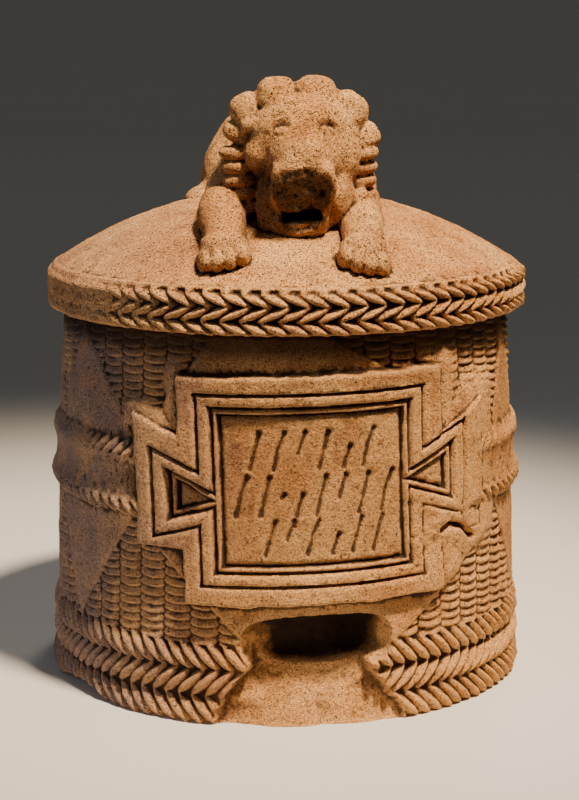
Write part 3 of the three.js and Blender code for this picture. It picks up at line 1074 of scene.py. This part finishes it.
@dataclass
class Lion:
    """The crouching lion, cut from one block with the lid."""

    turn: float = 9.0
    offset: float = -5.0
    head: Point = (11.0, -88.0, 394.0)
    legs: tuple[float, float] = (-42.0, 54.0)
    eyes: tuple[tuple[int, float], ...] = ((-1, -3.4), (1, 30.2))
    eye_height: float = 413.5
    snout: float = 12.0
    nose_top: float = 387.0
    nose_arch: float = 0.019
    mouth_height: float = 353.6
    lip: tuple[tuple[float, float], ...] = (
        (-12.2, 384), (-13.4, 372), (-9.3, 366), (-5.5, 358.6), (-4.3, 351), (-1.6, 344.7),
    )
    voxel: float = 1.25

    def perched(self, x: float, y: float, lift: float, *rest: float) -> tuple[float, ...]:
        """A place with its lift above the dome made a height."""
        return (x, y, float(dome_height(np.hypot(x, y))) + lift, *rest)

    def along(self, place: tuple[float, ...]) -> tuple[float, ...]:
        """Turns and shifts a place with the lion's body.

        Args:
            place: x and y along the body, and whatever follows them.

        Returns:
            The place in the lid's own directions.
        """
        angle = math.radians(self.turn)
        x, y, *rest = place
        return (x * math.cos(angle) - y * math.sin(angle) + self.offset,
                x * math.sin(angle) + y * math.cos(angle), *rest)

    def body(self) -> bpy.types.Object:
        """The trunk, haunches, hind feet, tail and shoulders, as one smooth form.

        Returns:
            The form.
        """
        clay = Clay("body")
        for y, x, lift, across, up in (
            (-52, 6, 12, 47, 46), (-28, 4, 7, 45, 45), (12, 2, 4, 40, 45),
            (48, -4, 10, 41, 51), (74, -6, 15, 41, 53), (92, -5, 8, 30, 42),
        ):
            x, y, z = self.along((x, y, float(dome_height(abs(y))) + lift))
            clay.mass((x, y, z), (across, 30, up), (0, 0, self.turn))
        tail = [
            (4, 100, 5, 9), (14, 118, 4.5, 8), (42, 113, 3.5, 7.5), (68, 86, 2, 7.5), (80, 54, 1.5, 8.5),
        ]
        clay.limb([self.along(self.perched(*place)) for place in tail])
        for side in (-1, 1):
            haunch = self.along(self.perched(side * 30, 58, 10))
            clay.mass(haunch, (22, 42, 36), (10, 0, side * 8 + self.turn))
            foot = self.along(self.perched(side * 54, 34, -6.5))
            clay.mass(foot, (13, 28, 13), (4, 0, side * -6 + self.turn))
        for x, side in zip(self.legs, (-1, 1)):
            clay.mass(self.perched(x - side * 9, -48, 12), (22, 30, 30), (-12, 0, 0))
        return clay.made(2.6, 14)

    def foreleg(self, clay: Clay, x: float, side: int) -> None:
        """Lays one foreleg with its broad paw and toes.

        Args:
            clay: what it is laid in.
            x: where it lies across the lid.
            side: -1 for the viewer's left and 1 for the right.
        """
        if side < 0:
            stations = [
                (x + 4, -62, 12, 20), (x - 3, -96, 8, 17.5), (x, -122, 7, 15), (x, -138, 6, 13),
            ]
        else:
            stations = [(x - 5, -62, 5, 20), (x, -96, 5, 16.5), (x, -122, 5, 14), (x, -138, 5, 12)]
        clay.limb([self.perched(*station) for station in stations], 4)
        clay.mass(self.perched(x, -137, 5), (17, 18, 11.5), (-22, 0, 0), 0.8)
        for toe in range(4):
            across = (toe / 3 - 0.5) * 27.0
            reach = 149.0 - abs(across) * 0.3
            clay.mass(self.perched(x + across, -reach, 3.5), (4.7, 12.5, 8.2), (-30, 0, -across), 0.8)

    def skull(self) -> bpy.types.Object:
        """The head's smooth forms: one slope from crown to nose, the cheeks and the throat.

        Returns:
            The form.
        """
        x, y, z = self.head
        clay = Clay("skull")
        clay.mass((x - 2, y + 6, z + 13), (47, 26, 37), (0, 0, 0), 0.8)
        clay.mass((x + 1, y - 7, z + 11), (38, 26, 35), (0, 0, 0), 0.86)
        clay.mass((x + 1, y - 16, z + 3), (27, 26, 28), (-8, 0, 0), 0.85)
        clay.mass((x + 1.5, y - 25, z - 5), (20, 26, 21), (-20, 0, 0), 0.8, 0.7)
        clay.mass((x + 1.5, y - 34, z - 19), (25, 22, 19), (-10, 0, 0), 0.68, 0.8)
        clay.mass((x + 1, y - 18, z - 26), (24, 25, 15), (0, 0, 0), 0.7)
        clay.mass((x - 1, y - 3, z - 42), (26, 30, 20), (0, 0, 0), 0.85)
        clay.mass((x - 18, y - 6, z - 34), (13, 22, 28), (0, 4, 0), 0.8)
        clay.mass((x - 28, y - 12, z + 1), (12, 15, 13))
        clay.mass((x + 29, y - 6, z - 2), (14, 18, 24), (0, 8, 0))
        clay.mass((x + 24, y - 8, z - 26), (14, 20, 24))
        return clay.made(1.9, 7)

    def face(self, clay: Clay) -> None:
        """Lays the skull, the open jaw, the one fang that is left and the tongue.

        Args:
            clay: what they are laid in.
        """
        x, y, z = self.head
        clay.add(self.skull())
        clay.mass((x, y - 12, z - 49.5), (20, 21, 7.5), (6, 0, 0), 0.75)
        clay.limb([(x + 17, y - 32, z - 32, 5.0), (x + 15.5, y - 29, z - 48, 3.4)])
        clay.mass((x + 1, y - 30, z - 46.0), (8, 4.5, 2.4), (0, -18, 0))
        clay.mass((x + 2, y - 31, z - 51.5), (8.5, 4, 2.4), (0, -14, 0))
        clay.mass((x - 15, y - 26, z - 45), (5, 7, 9), (0, 16, 0))

    def mane(self, clay: Clay) -> None:
        """Lays the locks round the face, broad on the crown and in stacked bars at the sides.

        Args:
            clay: what they are laid in.
        """
        x, y, z = self.head
        front = [
            (-16.5, -2, 38.5, 14.4, 20, 15.5, -4), (10, 2, 38.5, 15.6, 21, 15.5, 6),
            (-35, 1, 27, 12.8, 18, 16, -28), (30, 4, 26, 15, 20, 18, 36),
            (43, 5, 11, 10, 15, 13, 62), (-42, 1, 15, 7.5, 15, 12, -72),
            (-33, -8, 21, 10, 12, 5.5, -25), (-18, -10, 31, 9, 12, 5, -8), (31, -7, 17, 10, 12, 5.5, 30),
        ]
        front += [(-46 + 1.4 * n, 0.5 * n, 1 - 9.6 * n, 4.9, 13, 11.5, -86 - 3 * n) for n in range(5)]
        front += [(43 - 0.5 * n, 2 * n, 0 - 9.6 * n, 4.8, 12, 12, 78 + 2 * n) for n in range(4)]
        front += [(36, -4, -31, 5.2, 11, 12, 62), (32, -8, -42, 6, 10, 9, 80), (41, -2, -46, 6, 10, 8, 95)]
        for across, back, up, width, depth, length, outward in front:
            centre = (x + across, y + back, z + up)
            clay.mass(centre, (width, depth, length), (-14, outward, 0), 0.7)
        for tier, (behind, count, across, up, low) in enumerate(
            ((16, 17, 47, 50, 12), (34, 17, 50, 50, 14), (52, 15, 47, 46, 14))
        ):
            for n in range(count):
                angle = mix(-138.0, 138.0, (n + 0.5 * (tier % 2)) / (count - 1))
                turn = math.radians(angle)
                centre = (x - 2 + (across - 13) * math.sin(turn), y + behind,
                          z - low + (up - 12) * math.cos(turn))
                clay.mass(centre, (6.2, 13, 13), (-36, angle, 0), 0.72)
        clay.mass((x - 2, y + 26, z - 14), (42, 42, 44), (0, 0, 0), 0.9)

    def carve(self, piece: bpy.types.Object) -> None:
        """Cuts the nose, the mouth, the eyes and the lip into the finished skin.

        Args:
            piece: the lion.
        """
        x, y, _ = self.head
        places = points_of(piece)
        across = places[:, 0] - x - 1.0
        arch = places[:, 2] + self.nose_arch * across**2
        front = y - 51.5 + 0.5 * (self.nose_top - arch) + 0.011 * across**2
        front = front + 1.6 * WEATHER.layered(places, 12.0, 3)
        ahead = places[:, 1] < y - 20.0
        cut = 0.5 * (places[:, 1] + front + np.sqrt((places[:, 1] - front) ** 2 + 14.0))
        share = smoothstep(34.0, 27.0, np.abs(across)) * smoothstep(350.0, 354.0, places[:, 2])
        share = share * smoothstep(397.0, 390.0, places[:, 2]) * ahead
        places[:, 1] = mix(places[:, 1], cut, share)
        places[:, 1] += 13.0 * self.mouth(places) * ahead
        move_points(piece, places)
        normals = normals_of(piece)
        seen = smoothstep(0.1, -0.3, normals[:, 1]) * (places[:, 1] < y - 8)
        rise = np.zeros(len(places))
        for side, middle in self.eyes:
            dx = (places[:, 0] - middle) * side
            dz = places[:, 2] - self.eye_height + 0.3 * dx
            ball = np.hypot(dx / 5.2, dz / 3.0)
            lid = np.exp(-(((ball - 1.2) / 0.3) ** 2))
            rise -= seen * 2.2 * np.exp(-((np.hypot(dx - 1.0, 1.2 * dz) / 8.0) ** 2))
            rise += seen * 1.1 * np.sqrt(np.clip(1.0 - ball**2, 0.0, 1.0))
            rise -= seen * lid * mix(0.7, 0.3, smoothstep(1.0, -2.0, dz))
            brow = np.hypot(dx / 8.0, (dz - 2.0) / 5.6)
            rise += seen * 1.0 * np.exp(-(((brow - 1.0) / 0.25) ** 2)) * smoothstep(-2.0, 2.0, dz)
        rise += self.nose(places) * 2.2 * WEATHER.layered(places, 9.0, 4)
        lip = path_distance(list(self.lip), places[:, 0], places[:, 2])
        rise += seen * 1.5 * np.exp(-((lip / 1.5) ** 2)) * (places[:, 1] < y - 18)
        move_points(piece, places + normals * rise[:, None])

    def nose(self, places: Array) -> Array:
        """How far each place lies on the broken front of the nose.

        Args:
            places: rows of x, y and z.

        Returns:
            One value from 0 to 1 for each place.
        """
        wide = mix(19.0, 24.0, smoothstep(356.0, 372.0, places[:, 2]))
        across = smoothstep(0.0, -5.0, np.abs(places[:, 0] - self.snout) - wide)
        arch = places[:, 2] + self.nose_arch * (places[:, 0] - self.snout) ** 2
        arch = arch + 1.5 * WEATHER.at(places, 9.0)
        up = smoothstep(354.0, 358.0, places[:, 2]) * smoothstep(389.0, 384.0, arch)
        return across * up * smoothstep(self.head[1] - 24, self.head[1] - 30, places[:, 1])

    def mouth(self, places: Array) -> Array:
        """How far each place lies in the open mouth.

        Args:
            places: rows of x, y and z.

        Returns:
            One value from 0 to 1 for each place.
        """
        beside = places[:, 0] - self.snout
        across = smoothstep(15.5, 12.5, np.abs(beside))
        return across * smoothstep(5.2, 3.4, np.abs(places[:, 2] - self.mouth_height - 0.05 * beside))

    def weathering_and_painted_shade(self, places: Array) -> Array:
        """How dark each place is painted: the broken front of the nose, darkened stone with painted shadow
        under its overhanging top, painted shadow in the open mouth, and painted shade on the left side of
        the jaw.

        Args:
            places: rows of x, y and z.

        Returns:
            One value from 0 to 1 for each place.
        """
        ahead = smoothstep(self.head[1] - 6.0, self.head[1] - 16.0, places[:, 1])
        corner = mix(9.0, -6.0, smoothstep(346.0, 364.0, places[:, 2]))
        # Painted shade on the left side plane of the jaw, which faces away from the key lamp.
        left = smoothstep(-34.0, -26.0, places[:, 0]) * smoothstep(0.0, -8.0, places[:, 0] - corner)
        left = left * smoothstep(336.0, 344.0, places[:, 2]) * smoothstep(392.0, 380.0, places[:, 2])
        # The nose front is darkened stone with painted shadow below its overhanging top; the mouth is
        # painted shadow in the slot.
        front = np.maximum(0.72 * self.nose(places), 0.95 * self.mouth(places))
        return ahead * np.maximum(front, 0.6 * left)

    def build(self) -> bpy.types.Object:
        """Makes the lion.

        Returns:
            The lion alone, sunk a little into the dome.
        """
        body = self.body()
        clay = Clay("lion")
        clay.add(body)
        for x, side in zip(self.legs, (-1, 1)):
            self.foreleg(clay, x, side)
        self.face(clay)
        self.mane(clay)
        lion = clay.made(self.voxel, 3)
        self.carve(lion)
        return lion


@dataclass
class Lid:
    """The domed lid with its three plaited rows, and the lion on it."""

    base: float = 277.3
    rim: float = 30.0
    edge: float = 177.4
    shoulder: float = DOME_EDGE
    lip: float = 127.0
    lip_depth: float = 9.0
    strands: int = 82
    columns: int = 1100
    row_step: float = 0.7
    dome_rows: int = 96
    lion: Lion = field(default_factory=Lion)

    def rim_relief(self, azimuth: Array, height: Array) -> Array:
        """Relief of the three plaited rows above the rim's plain wall.

        Args:
            azimuth: places round the rim, as rows of heights by columns.
            height: places up the rim, laid out the same way.

        Returns:
            One height for each place.
        """
        relief = np.full(azimuth.shape, -2.4)
        third = self.rim / 3.0
        for row, lean in enumerate((-6.2, 6.4, -6.2)):
            low = self.base + row * third
            rope = Rope(low - 0.6, low + third + 0.8, self.strands, lean, 4.0, -2.4, 0.42, 0.9)
            relief = np.maximum(relief, rope.relief(azimuth, height))
        around = turned(azimuth)
        places = wall_places(azimuth, height, 180)
        patches = smoothstep(-0.2, 0.8, WEATHER.layered(places, 40.0, 3)).reshape(azimuth.shape)
        left = smoothstep(-26.0, -54.0, around) * smoothstep(-150.0, -110.0, around)
        wear = np.clip(0.04 + 0.36 * patches + 0.85 * left, 0.0, 1.0)
        worn = softened(relief, 4.5, 6.5) + 0.9 * left
        return mix(softened(relief, 0.6, 0.6), worn, wear)

    def skin_rows(self, outer: Array, heights: Array) -> list[tuple[Array, Array]]:
        """The disc's rows from the middle of its underside, up the rim and over the dome.

        Args:
            outer: radius of the carved rim, one row for each height.
            heights: the rim's heights.

        Returns:
            For each row its radii and its heights.
        """
        one = np.ones(outer.shape[1])
        lowest = self.base - self.lip_depth
        rows = [(self.lip * s * one, lowest * one) for s in (0.0, 0.4, 0.8, 0.975)]
        rows += [(self.lip * one, (lowest + 2.5) * one), (self.lip * one, self.base * one)]
        rows += [(mix(self.lip * one, outer[0], s), self.base * one) for s in (0.3, 0.7, 0.97)]
        rows += [(outer[k], height * one) for k, height in enumerate(heights)]
        top = self.base + self.rim
        for s in (0.35, 0.7):
            rows.append((mix(outer[-1], self.shoulder - 2.0, s), (top + 2.6 * s) * one))
        for distance in np.linspace(self.shoulder - 3.0, 0.0, self.dome_rows):
            bed = dome_height(np.array(distance))
            rows.append((distance * one, max(bed, top + 2.8) * one))
        return rows

    def disc(self) -> bpy.types.Object:
        """Makes the lid without its lion.

        Returns:
            The closed disc, level where it seats.
        """
        azimuth = np.linspace(0.0, FULL, self.columns + 1)[:-1]
        heights = np.arange(0.0, self.rim + 0.01, self.row_step) + self.base
        around, up = np.meshgrid(azimuth, heights)
        outer = self.edge + self.rim_relief(around, up)
        share = (up - self.base) / self.rim
        foot = np.clip(1.0 - share / 0.12, 0.0, 1.0) ** 2
        head = np.clip((share - 0.8) / 0.2, 0.0, 1.0) ** 2
        outer -= 2.0 * foot + 3.0 * head
        piece = rolled_grid("lid_stone", azimuth, self.skin_rows(outer, heights))
        weathered(piece, 0.4)
        places = points_of(piece)
        places[:, 2] = np.maximum(places[:, 2], self.base - self.lip_depth)
        seat = np.hypot(places[:, 0], places[:, 1]) > self.lip + 1.0
        places[seat, 2] = np.maximum(places[seat, 2], self.base)
        move_points(piece, places)
        return piece

    def build(self) -> bpy.types.Object:
        """Makes the lid with its lion.

        Returns:
            The finished piece.
        """
        piece = self.disc()
        lion = self.lion.build()
        weathered(lion, 0.5)
        thin_out(piece, DISC_LIMIT)
        apply_modifier(piece, "BOOLEAN", operation="UNION", solver="MANIFOLD", object=lion)
        bpy.data.objects.remove(lion)
        thin_out(piece, TRIANGLE_LIMIT)
        # The lion's darkened nose and its painted shadow and shade are kept with the same mark.
        keep(piece, "stain_and_painted_shade", self.lion.weathering_and_painted_shade(points_of(piece)))
        return piece


def keep(piece: bpy.types.Object, name: str, values: Array) -> None:
    """Keeps one value for each of a piece's points under a name."""
    layer = piece.data.attributes.new(name, "FLOAT", "POINT")
    layer.data.foreach_set("value", values.astype(np.float32))


def mark_recesses(piece: bpy.types.Object) -> None:
    """Keeps on a piece how deep each place lies below its surroundings, near and wide.

    Args:
        piece: the finished mesh.
    """
    mesh = piece.data
    count = len(mesh.vertices)
    flat = np.empty(len(mesh.edges) * 2, dtype=np.int32)
    mesh.edges.foreach_get("vertices", flat)
    ends = flat.reshape(-1, 2)
    first, second = ends[:, 0], ends[:, 1]
    degree = np.bincount(first, minlength=count) + np.bincount(second, minlength=count)
    degree = np.maximum(degree, 1)[:, None]
    places = points_of(piece)
    normals = normals_of(piece)
    smooth = places.copy()
    for step in range(1, 41):
        total = np.empty_like(smooth)
        for axis in range(3):
            total[:, axis] = np.bincount(first, smooth[second, axis], count)
            total[:, axis] += np.bincount(second, smooth[first, axis], count)
        smooth = 0.3 * smooth + 0.7 * total / degree
        if step in (4, 40):
            depth = np.einsum("ij,ij->i", smooth - places, normals)
            keep(piece, "recess_near" if step == 4 else "recess_wide", depth)


class Wire:
    """A shader socket on which plain arithmetic can be written."""

    def __init__(self, graph: "Graph", socket: bpy.types.NodeSocket) -> None:
        """Wraps one output socket."""
        self.graph = graph
        self.socket = socket

    def _math(self, operation: str, left: object, right: object) -> "Wire":
        """Adds one Math node."""
        return self.graph.node("ShaderNodeMath", {"operation": operation}, {0: left, 1: right})

    def __add__(self, other: object) -> "Wire":
        """Sum."""
        return self._math("ADD", self, other)

    __radd__ = __add__

    def __sub__(self, other: object) -> "Wire":
        """Difference."""
        return self._math("SUBTRACT", self, other)

    def __rsub__(self, other: object) -> "Wire":
        """Difference with the wire on the right."""
        return self._math("SUBTRACT", other, self)

    def __mul__(self, other: object) -> "Wire":
        """Product."""
        return self._math("MULTIPLY", self, other)

    __rmul__ = __mul__

    def step(self, low: float, high: float) -> "Wire":
        """Eases the wire's value from 0 at low to 1 at high."""
        settings = {"interpolation_type": "SMOOTHSTEP"}
        return self.graph.node("ShaderNodeMapRange", settings, {0: self, 1: low, 2: high, 3: 0.0, 4: 1.0})


class Graph:
    """The node tree of one material."""

    def __init__(self, name: str) -> None:
        """Starts a material with a plain shader and its output.

        Args:
            name: the material's name.
        """
        self.material = bpy.data.materials.new(name)
        self.material.use_nodes = True
        self.tree = self.material.node_tree
        self.tree.nodes.clear()
        self.output = self.tree.nodes.new("ShaderNodeOutputMaterial")
        self.shader = self.tree.nodes.new("ShaderNodeBsdfPrincipled")
        self.tree.links.new(self.shader.outputs[0], self.output.inputs["Surface"])

    def node(self, kind: str, settings: dict, values: dict, out: object = 0) -> Wire:
        """Adds one node.

        Args:
            kind: the node's type.
            settings: its settings, set first.
            values: values or wires by input name or number.
            out: the output that is wanted.

        Returns:
            That output as a wire.
        """
        node = self.tree.nodes.new(kind)
        for name, value in settings.items():
            setattr(node, name, value)
        for key, value in values.items():
            if isinstance(value, Wire):
                self.tree.links.new(value.socket, node.inputs[key])
            else:
                node.inputs[key].default_value = value
        return Wire(self, node.outputs[out])

    def place(self) -> Wire:
        """The place on the piece in its own coordinates."""
        return self.node("ShaderNodeTexCoord", {}, {}, "Object")

    def noise(self, place: Wire, scale: float, detail: float = 4.0, rough: float = 0.55) -> Wire:
        """Smooth noise from 0 to 1."""
        values = {"Vector": place, "Scale": scale, "Detail": detail, "Roughness": rough}
        return self.node("ShaderNodeTexNoise", {}, values, "Fac")

    def mark(self, name: str) -> Wire:
        """A value kept on the mesh."""
        settings = {"attribute_name": name, "attribute_type": "GEOMETRY"}
        return self.node("ShaderNodeAttribute", settings, {}, "Fac")

    def tint(self, share: object, first: object, second: object) -> Wire:
        """Blends two colours by a share."""
        settings = {"data_type": "RGBA", "blend_type": "MIX", "clamp_factor": True}
        return self.node("ShaderNodeMix", settings, {0: share, 6: first, 7: second}, 2)

    def set(self, name: str, value: object) -> None:
        """Gives one of the shader's own sockets what it shows.

        Args:
            name: the socket's name.
            value: a value or a wire.
        """
        if isinstance(value, Wire):
            self.tree.links.new(value.socket, self.shader.inputs[name])
        else:
            self.shader.inputs[name].default_value = value


def colour(red: int, green: int, blue: int) -> tuple[float, float, float, float]:
    """A colour given in display steps from 0 to 255, as the shader takes it."""
    steps = (red / 255, green / 255, blue / 255)
    return (*(s / 12.92 if s <= 0.04045 else ((s + 0.055) / 1.055) ** 2.4 for s in steps), 1.0)


@dataclass(frozen=True)
class Stone:
    """Warm, weathered stone with dark pits, rubbed edges, painted shade in its hollows and a cooler left
    side painted as shade.
    """

    name: str
    light: tuple[int, int, int] = (226, 170, 106)
    middle: tuple[int, int, int] = (190, 128, 70)
    dark: tuple[int, int, int] = (132, 82, 42)
    # Dark colour of pits and darkened stone, also used for painted shade in hollows and for painted shadow
    # under the lid and in the lion's mouth.
    grime_and_painted_shade: tuple[int, int, int] = (34, 20, 11)
    # Painted cool shade for the left side, which faces away from the key lamp.
    painted_cool_shade: tuple[int, int, int] = (120, 109, 113)
    pitted: float = 0.5
    # How strongly the left side takes the painted cool shade.
    painted_cool_shade_share: float = 0.78

    def material(self) -> bpy.types.Material:
        """Builds the material.

        Returns:
            The new material.
        """
        graph = Graph(self.name)
        place = graph.place()
        broad = graph.noise(place, 13.0, 5.0, 0.6)
        blotch = graph.noise(place, 46.0, 5.0, 0.62)
        grain = graph.noise(place, 420.0, 4.0, 0.65)
        speck = graph.noise(place, 1050.0, 1.0, 0.5)
        hole = graph.noise(place, 480.0, 1.0, 0.5)
        fresh = 1.0 - graph.mark("bare") * 0.5
        near = graph.mark("recess_near")
        wide = graph.mark("recess_wide")
        base = graph.tint(broad.step(0.35, 0.65), colour(*self.middle), colour(*self.light))
        base = graph.tint(blotch.step(0.5, 0.72) * 0.65, base, colour(*self.dark))
        base = graph.tint(grain.step(0.5, 0.72) * 0.6, base, colour(*self.light))
        base = graph.tint(grain.step(0.5, 0.3) * 0.5, base, colour(*self.dark))
        edge = (0.0 - near).step(0.12, 0.5) * 0.5
        base = graph.tint(edge, base, colour(*self.light))
        across = graph.node("ShaderNodeSeparateXYZ", {}, {0: place}, 0)
        # Painted cool shade: the left side, at negative X, is tinted cooler in blotches, as the key lamp
        # does not reach it.
        left = (across + broad * 0.16).step(0.05, -0.07) * self.painted_cool_shade_share
        base = graph.tint(left * blotch.step(0.1, 0.55), base, colour(*self.painted_cool_shade))
        # Painted shade: places below their near surroundings (hollow) and below their wide surroundings
        # (deep) are darkened where shadow falls in crevices and recesses, half as much on freshly broken
        # stone.
        hollow = (near + grain * 0.1).step(0.14, 0.5) * 0.72 * fresh
        deep = (wide + blotch * 0.4).step(0.6, 2.3) * 0.8 * fresh
        base = graph.tint(deep, base, colour(*self.grime_and_painted_shade))
        base = graph.tint(hollow, base, colour(*self.grime_and_painted_shade))
        dots = (speck.step(0.54, 0.66) + hole.step(0.64, 0.72)) * self.pitted
        base = graph.tint(dots, base, colour(*self.grime_and_painted_shade))
        # Blends towards the dark colour by the kept mark: painted shadow and shade on the vessel and the
        # lion, and the lion's darkened nose.
        graph.set("Base Color", graph.tint(graph.mark("stain_and_painted_shade"), base, colour(*self.grime_and_painted_shade)))
        graph.set("Roughness", 0.86 + grain * 0.12)
        graph.set("Specular IOR Level", 0.25)
        height = grain * 0.8 + blotch * 0.6 - dots * 0.7
        bump = {"Strength": 1.0, "Distance": 0.0022, "Height": height}
        graph.set("Normal", graph.node("ShaderNodeBump", {}, bump))
        return graph.material


@dataclass(frozen=True)
class Lamp:
    """One soft lamp aimed at the urn, by its direction in degrees and its strength in watts."""

    name: str
    side: float
    rise: float
    spread: float
    power: float
    tint: Point
    reach: float = 3.0
    aim: float = 0.22
    cone: float = 26.0

    def hang(self) -> None:
        """Adds the lamp. Its spread is how wide it looks from the urn, in degrees."""
        data = bpy.data.lights.new(self.name, "SPOT")
        data.shadow_soft_size = self.reach * math.tan(math.radians(self.spread / 2.0))
        data.spot_size = math.radians(self.cone)
        data.spot_blend = 0.8
        data.energy = self.power
        data.color = self.tint
        lamp = bpy.data.objects.new(self.name, data)
        bpy.context.scene.collection.objects.link(lamp)
        around, up = math.radians(self.side), math.radians(self.rise)
        flat = self.reach * math.cos(up)
        height = self.aim + self.reach * math.sin(up)
        lamp.location = (flat * math.sin(around), -flat * math.cos(around), height)
        lamp.rotation_euler = (math.pi / 2.0 - up, 0.0, around)


@dataclass
class Studio:
    """Plain pale floor, soft lights and the camera."""

    floor_tint: tuple[int, int, int] = (206, 203, 198)
    floor_radius: float = 9.0
    rim_height: float = 3.0
    rim_sweep: float = 2.4
    room_tint: tuple[float, ...] = (0.8, 0.79, 0.77, 1.0)
    room_light: float = 0.13
    eye: Point = (0.0032, -1.4774, 0.4914)
    dip: float = 0.1952
    lens: float = 87.8445
    sensor: float = 36.0
    lamps: tuple[Lamp, ...] = (
        Lamp("key", 38.0, 65.0, 7.0, 1080.0, (1.0, 0.8, 0.58)),
        Lamp("back", 165.0, 38.0, 16.0, 110.0, (1.0, 0.9, 0.78)),
        Lamp("fill", -56.0, 24.0, 24.0, 84.0, (0.6, 0.74, 1.0)),
    )

    def floor(self) -> None:
        """Lays a wide round floor whose rim sweeps up into a low backdrop."""
        deselect()
        bpy.ops.mesh.primitive_circle_add(vertices=128, radius=self.floor_radius, fill_type="NGON")
        floor = bpy.context.object
        floor.name = "floor"
        bpy.ops.object.mode_set(mode="EDIT")
        bpy.ops.mesh.select_mode(type="EDGE")
        bpy.ops.mesh.select_all(action="SELECT")
        bpy.ops.mesh.region_to_loop()
        bpy.ops.mesh.extrude_region_move(TRANSFORM_OT_translate={"value": (0.0, 0.0, self.rim_height)})
        bpy.ops.object.mode_set(mode="OBJECT")
        mesh = floor.data
        for edge in mesh.edges:
            edge.select = all(mesh.vertices[k].co.z < 0.1 for k in edge.vertices)
        bpy.ops.object.mode_set(mode="EDIT")
        bpy.ops.mesh.bevel(offset=self.rim_sweep, segments=16, affect="EDGES")
        bpy.ops.object.mode_set(mode="OBJECT")
        graph = Graph("pale_floor")
        graph.set("Base Color", colour(*self.floor_tint))
        graph.set("Roughness", 0.9)
        graph.set("Specular IOR Level", 0.1)
        floor.data.materials.append(graph.material)

    def camera(self) -> None:
        """Sets the camera up as the urn was seen."""
        data = bpy.data.cameras.new("camera")
        data.sensor_width = self.sensor
        data.lens = self.lens
        camera = bpy.data.objects.new("camera", data)
        bpy.context.scene.collection.objects.link(camera)
        camera.location = self.eye
        camera.rotation_euler = (math.pi / 2 - self.dip, 0.0, 0.0)
        bpy.context.scene.camera = camera

    def build(self) -> None:
        """Sets up the floor, the lamps, the pale surroundings and the camera."""
        self.floor()
        for lamp in self.lamps:
            lamp.hang()
        world = bpy.data.worlds.new("pale_room")
        world.use_nodes = True
        room = world.node_tree.nodes["Background"].inputs
        room["Color"].default_value = self.room_tint
        room["Strength"].default_value = self.room_light
        bpy.context.scene.world = world
        self.camera()


def dress(piece: bpy.types.Object, node: str, stone: Stone) -> None:
    """Finishes a piece and sets it in the place of its node.

    Args:
        piece: the finished mesh.
        node: the node that it stands for.
        stone: its finish.
    """
    close_up(piece, 0.001)
    piece.data.materials.clear()
    piece.data.materials.append(stone.material())
    pick(piece)
    bpy.ops.object.shade_smooth_by_angle(angle=math.radians(70.0))
    mark_recesses(piece)
    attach(piece, "root")
    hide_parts(node)
    piece.data.calc_loop_triangles()
    LOG.info("%s: %d triangles", piece.name, len(piece.data.loop_triangles))


def main() -> None:
    """Builds the urn, its lid and the studio."""
    logging.basicConfig(level=logging.INFO, format="%(message)s")
    dress(Vessel().build(), "urn", Stone("carved_stone"))
    dress(Lid().build(), "lid", Stone("lid_stone", pitted=0.75, painted_cool_shade_share=0.25))
    Studio().build()


if __name__ == "__main__":
    main()
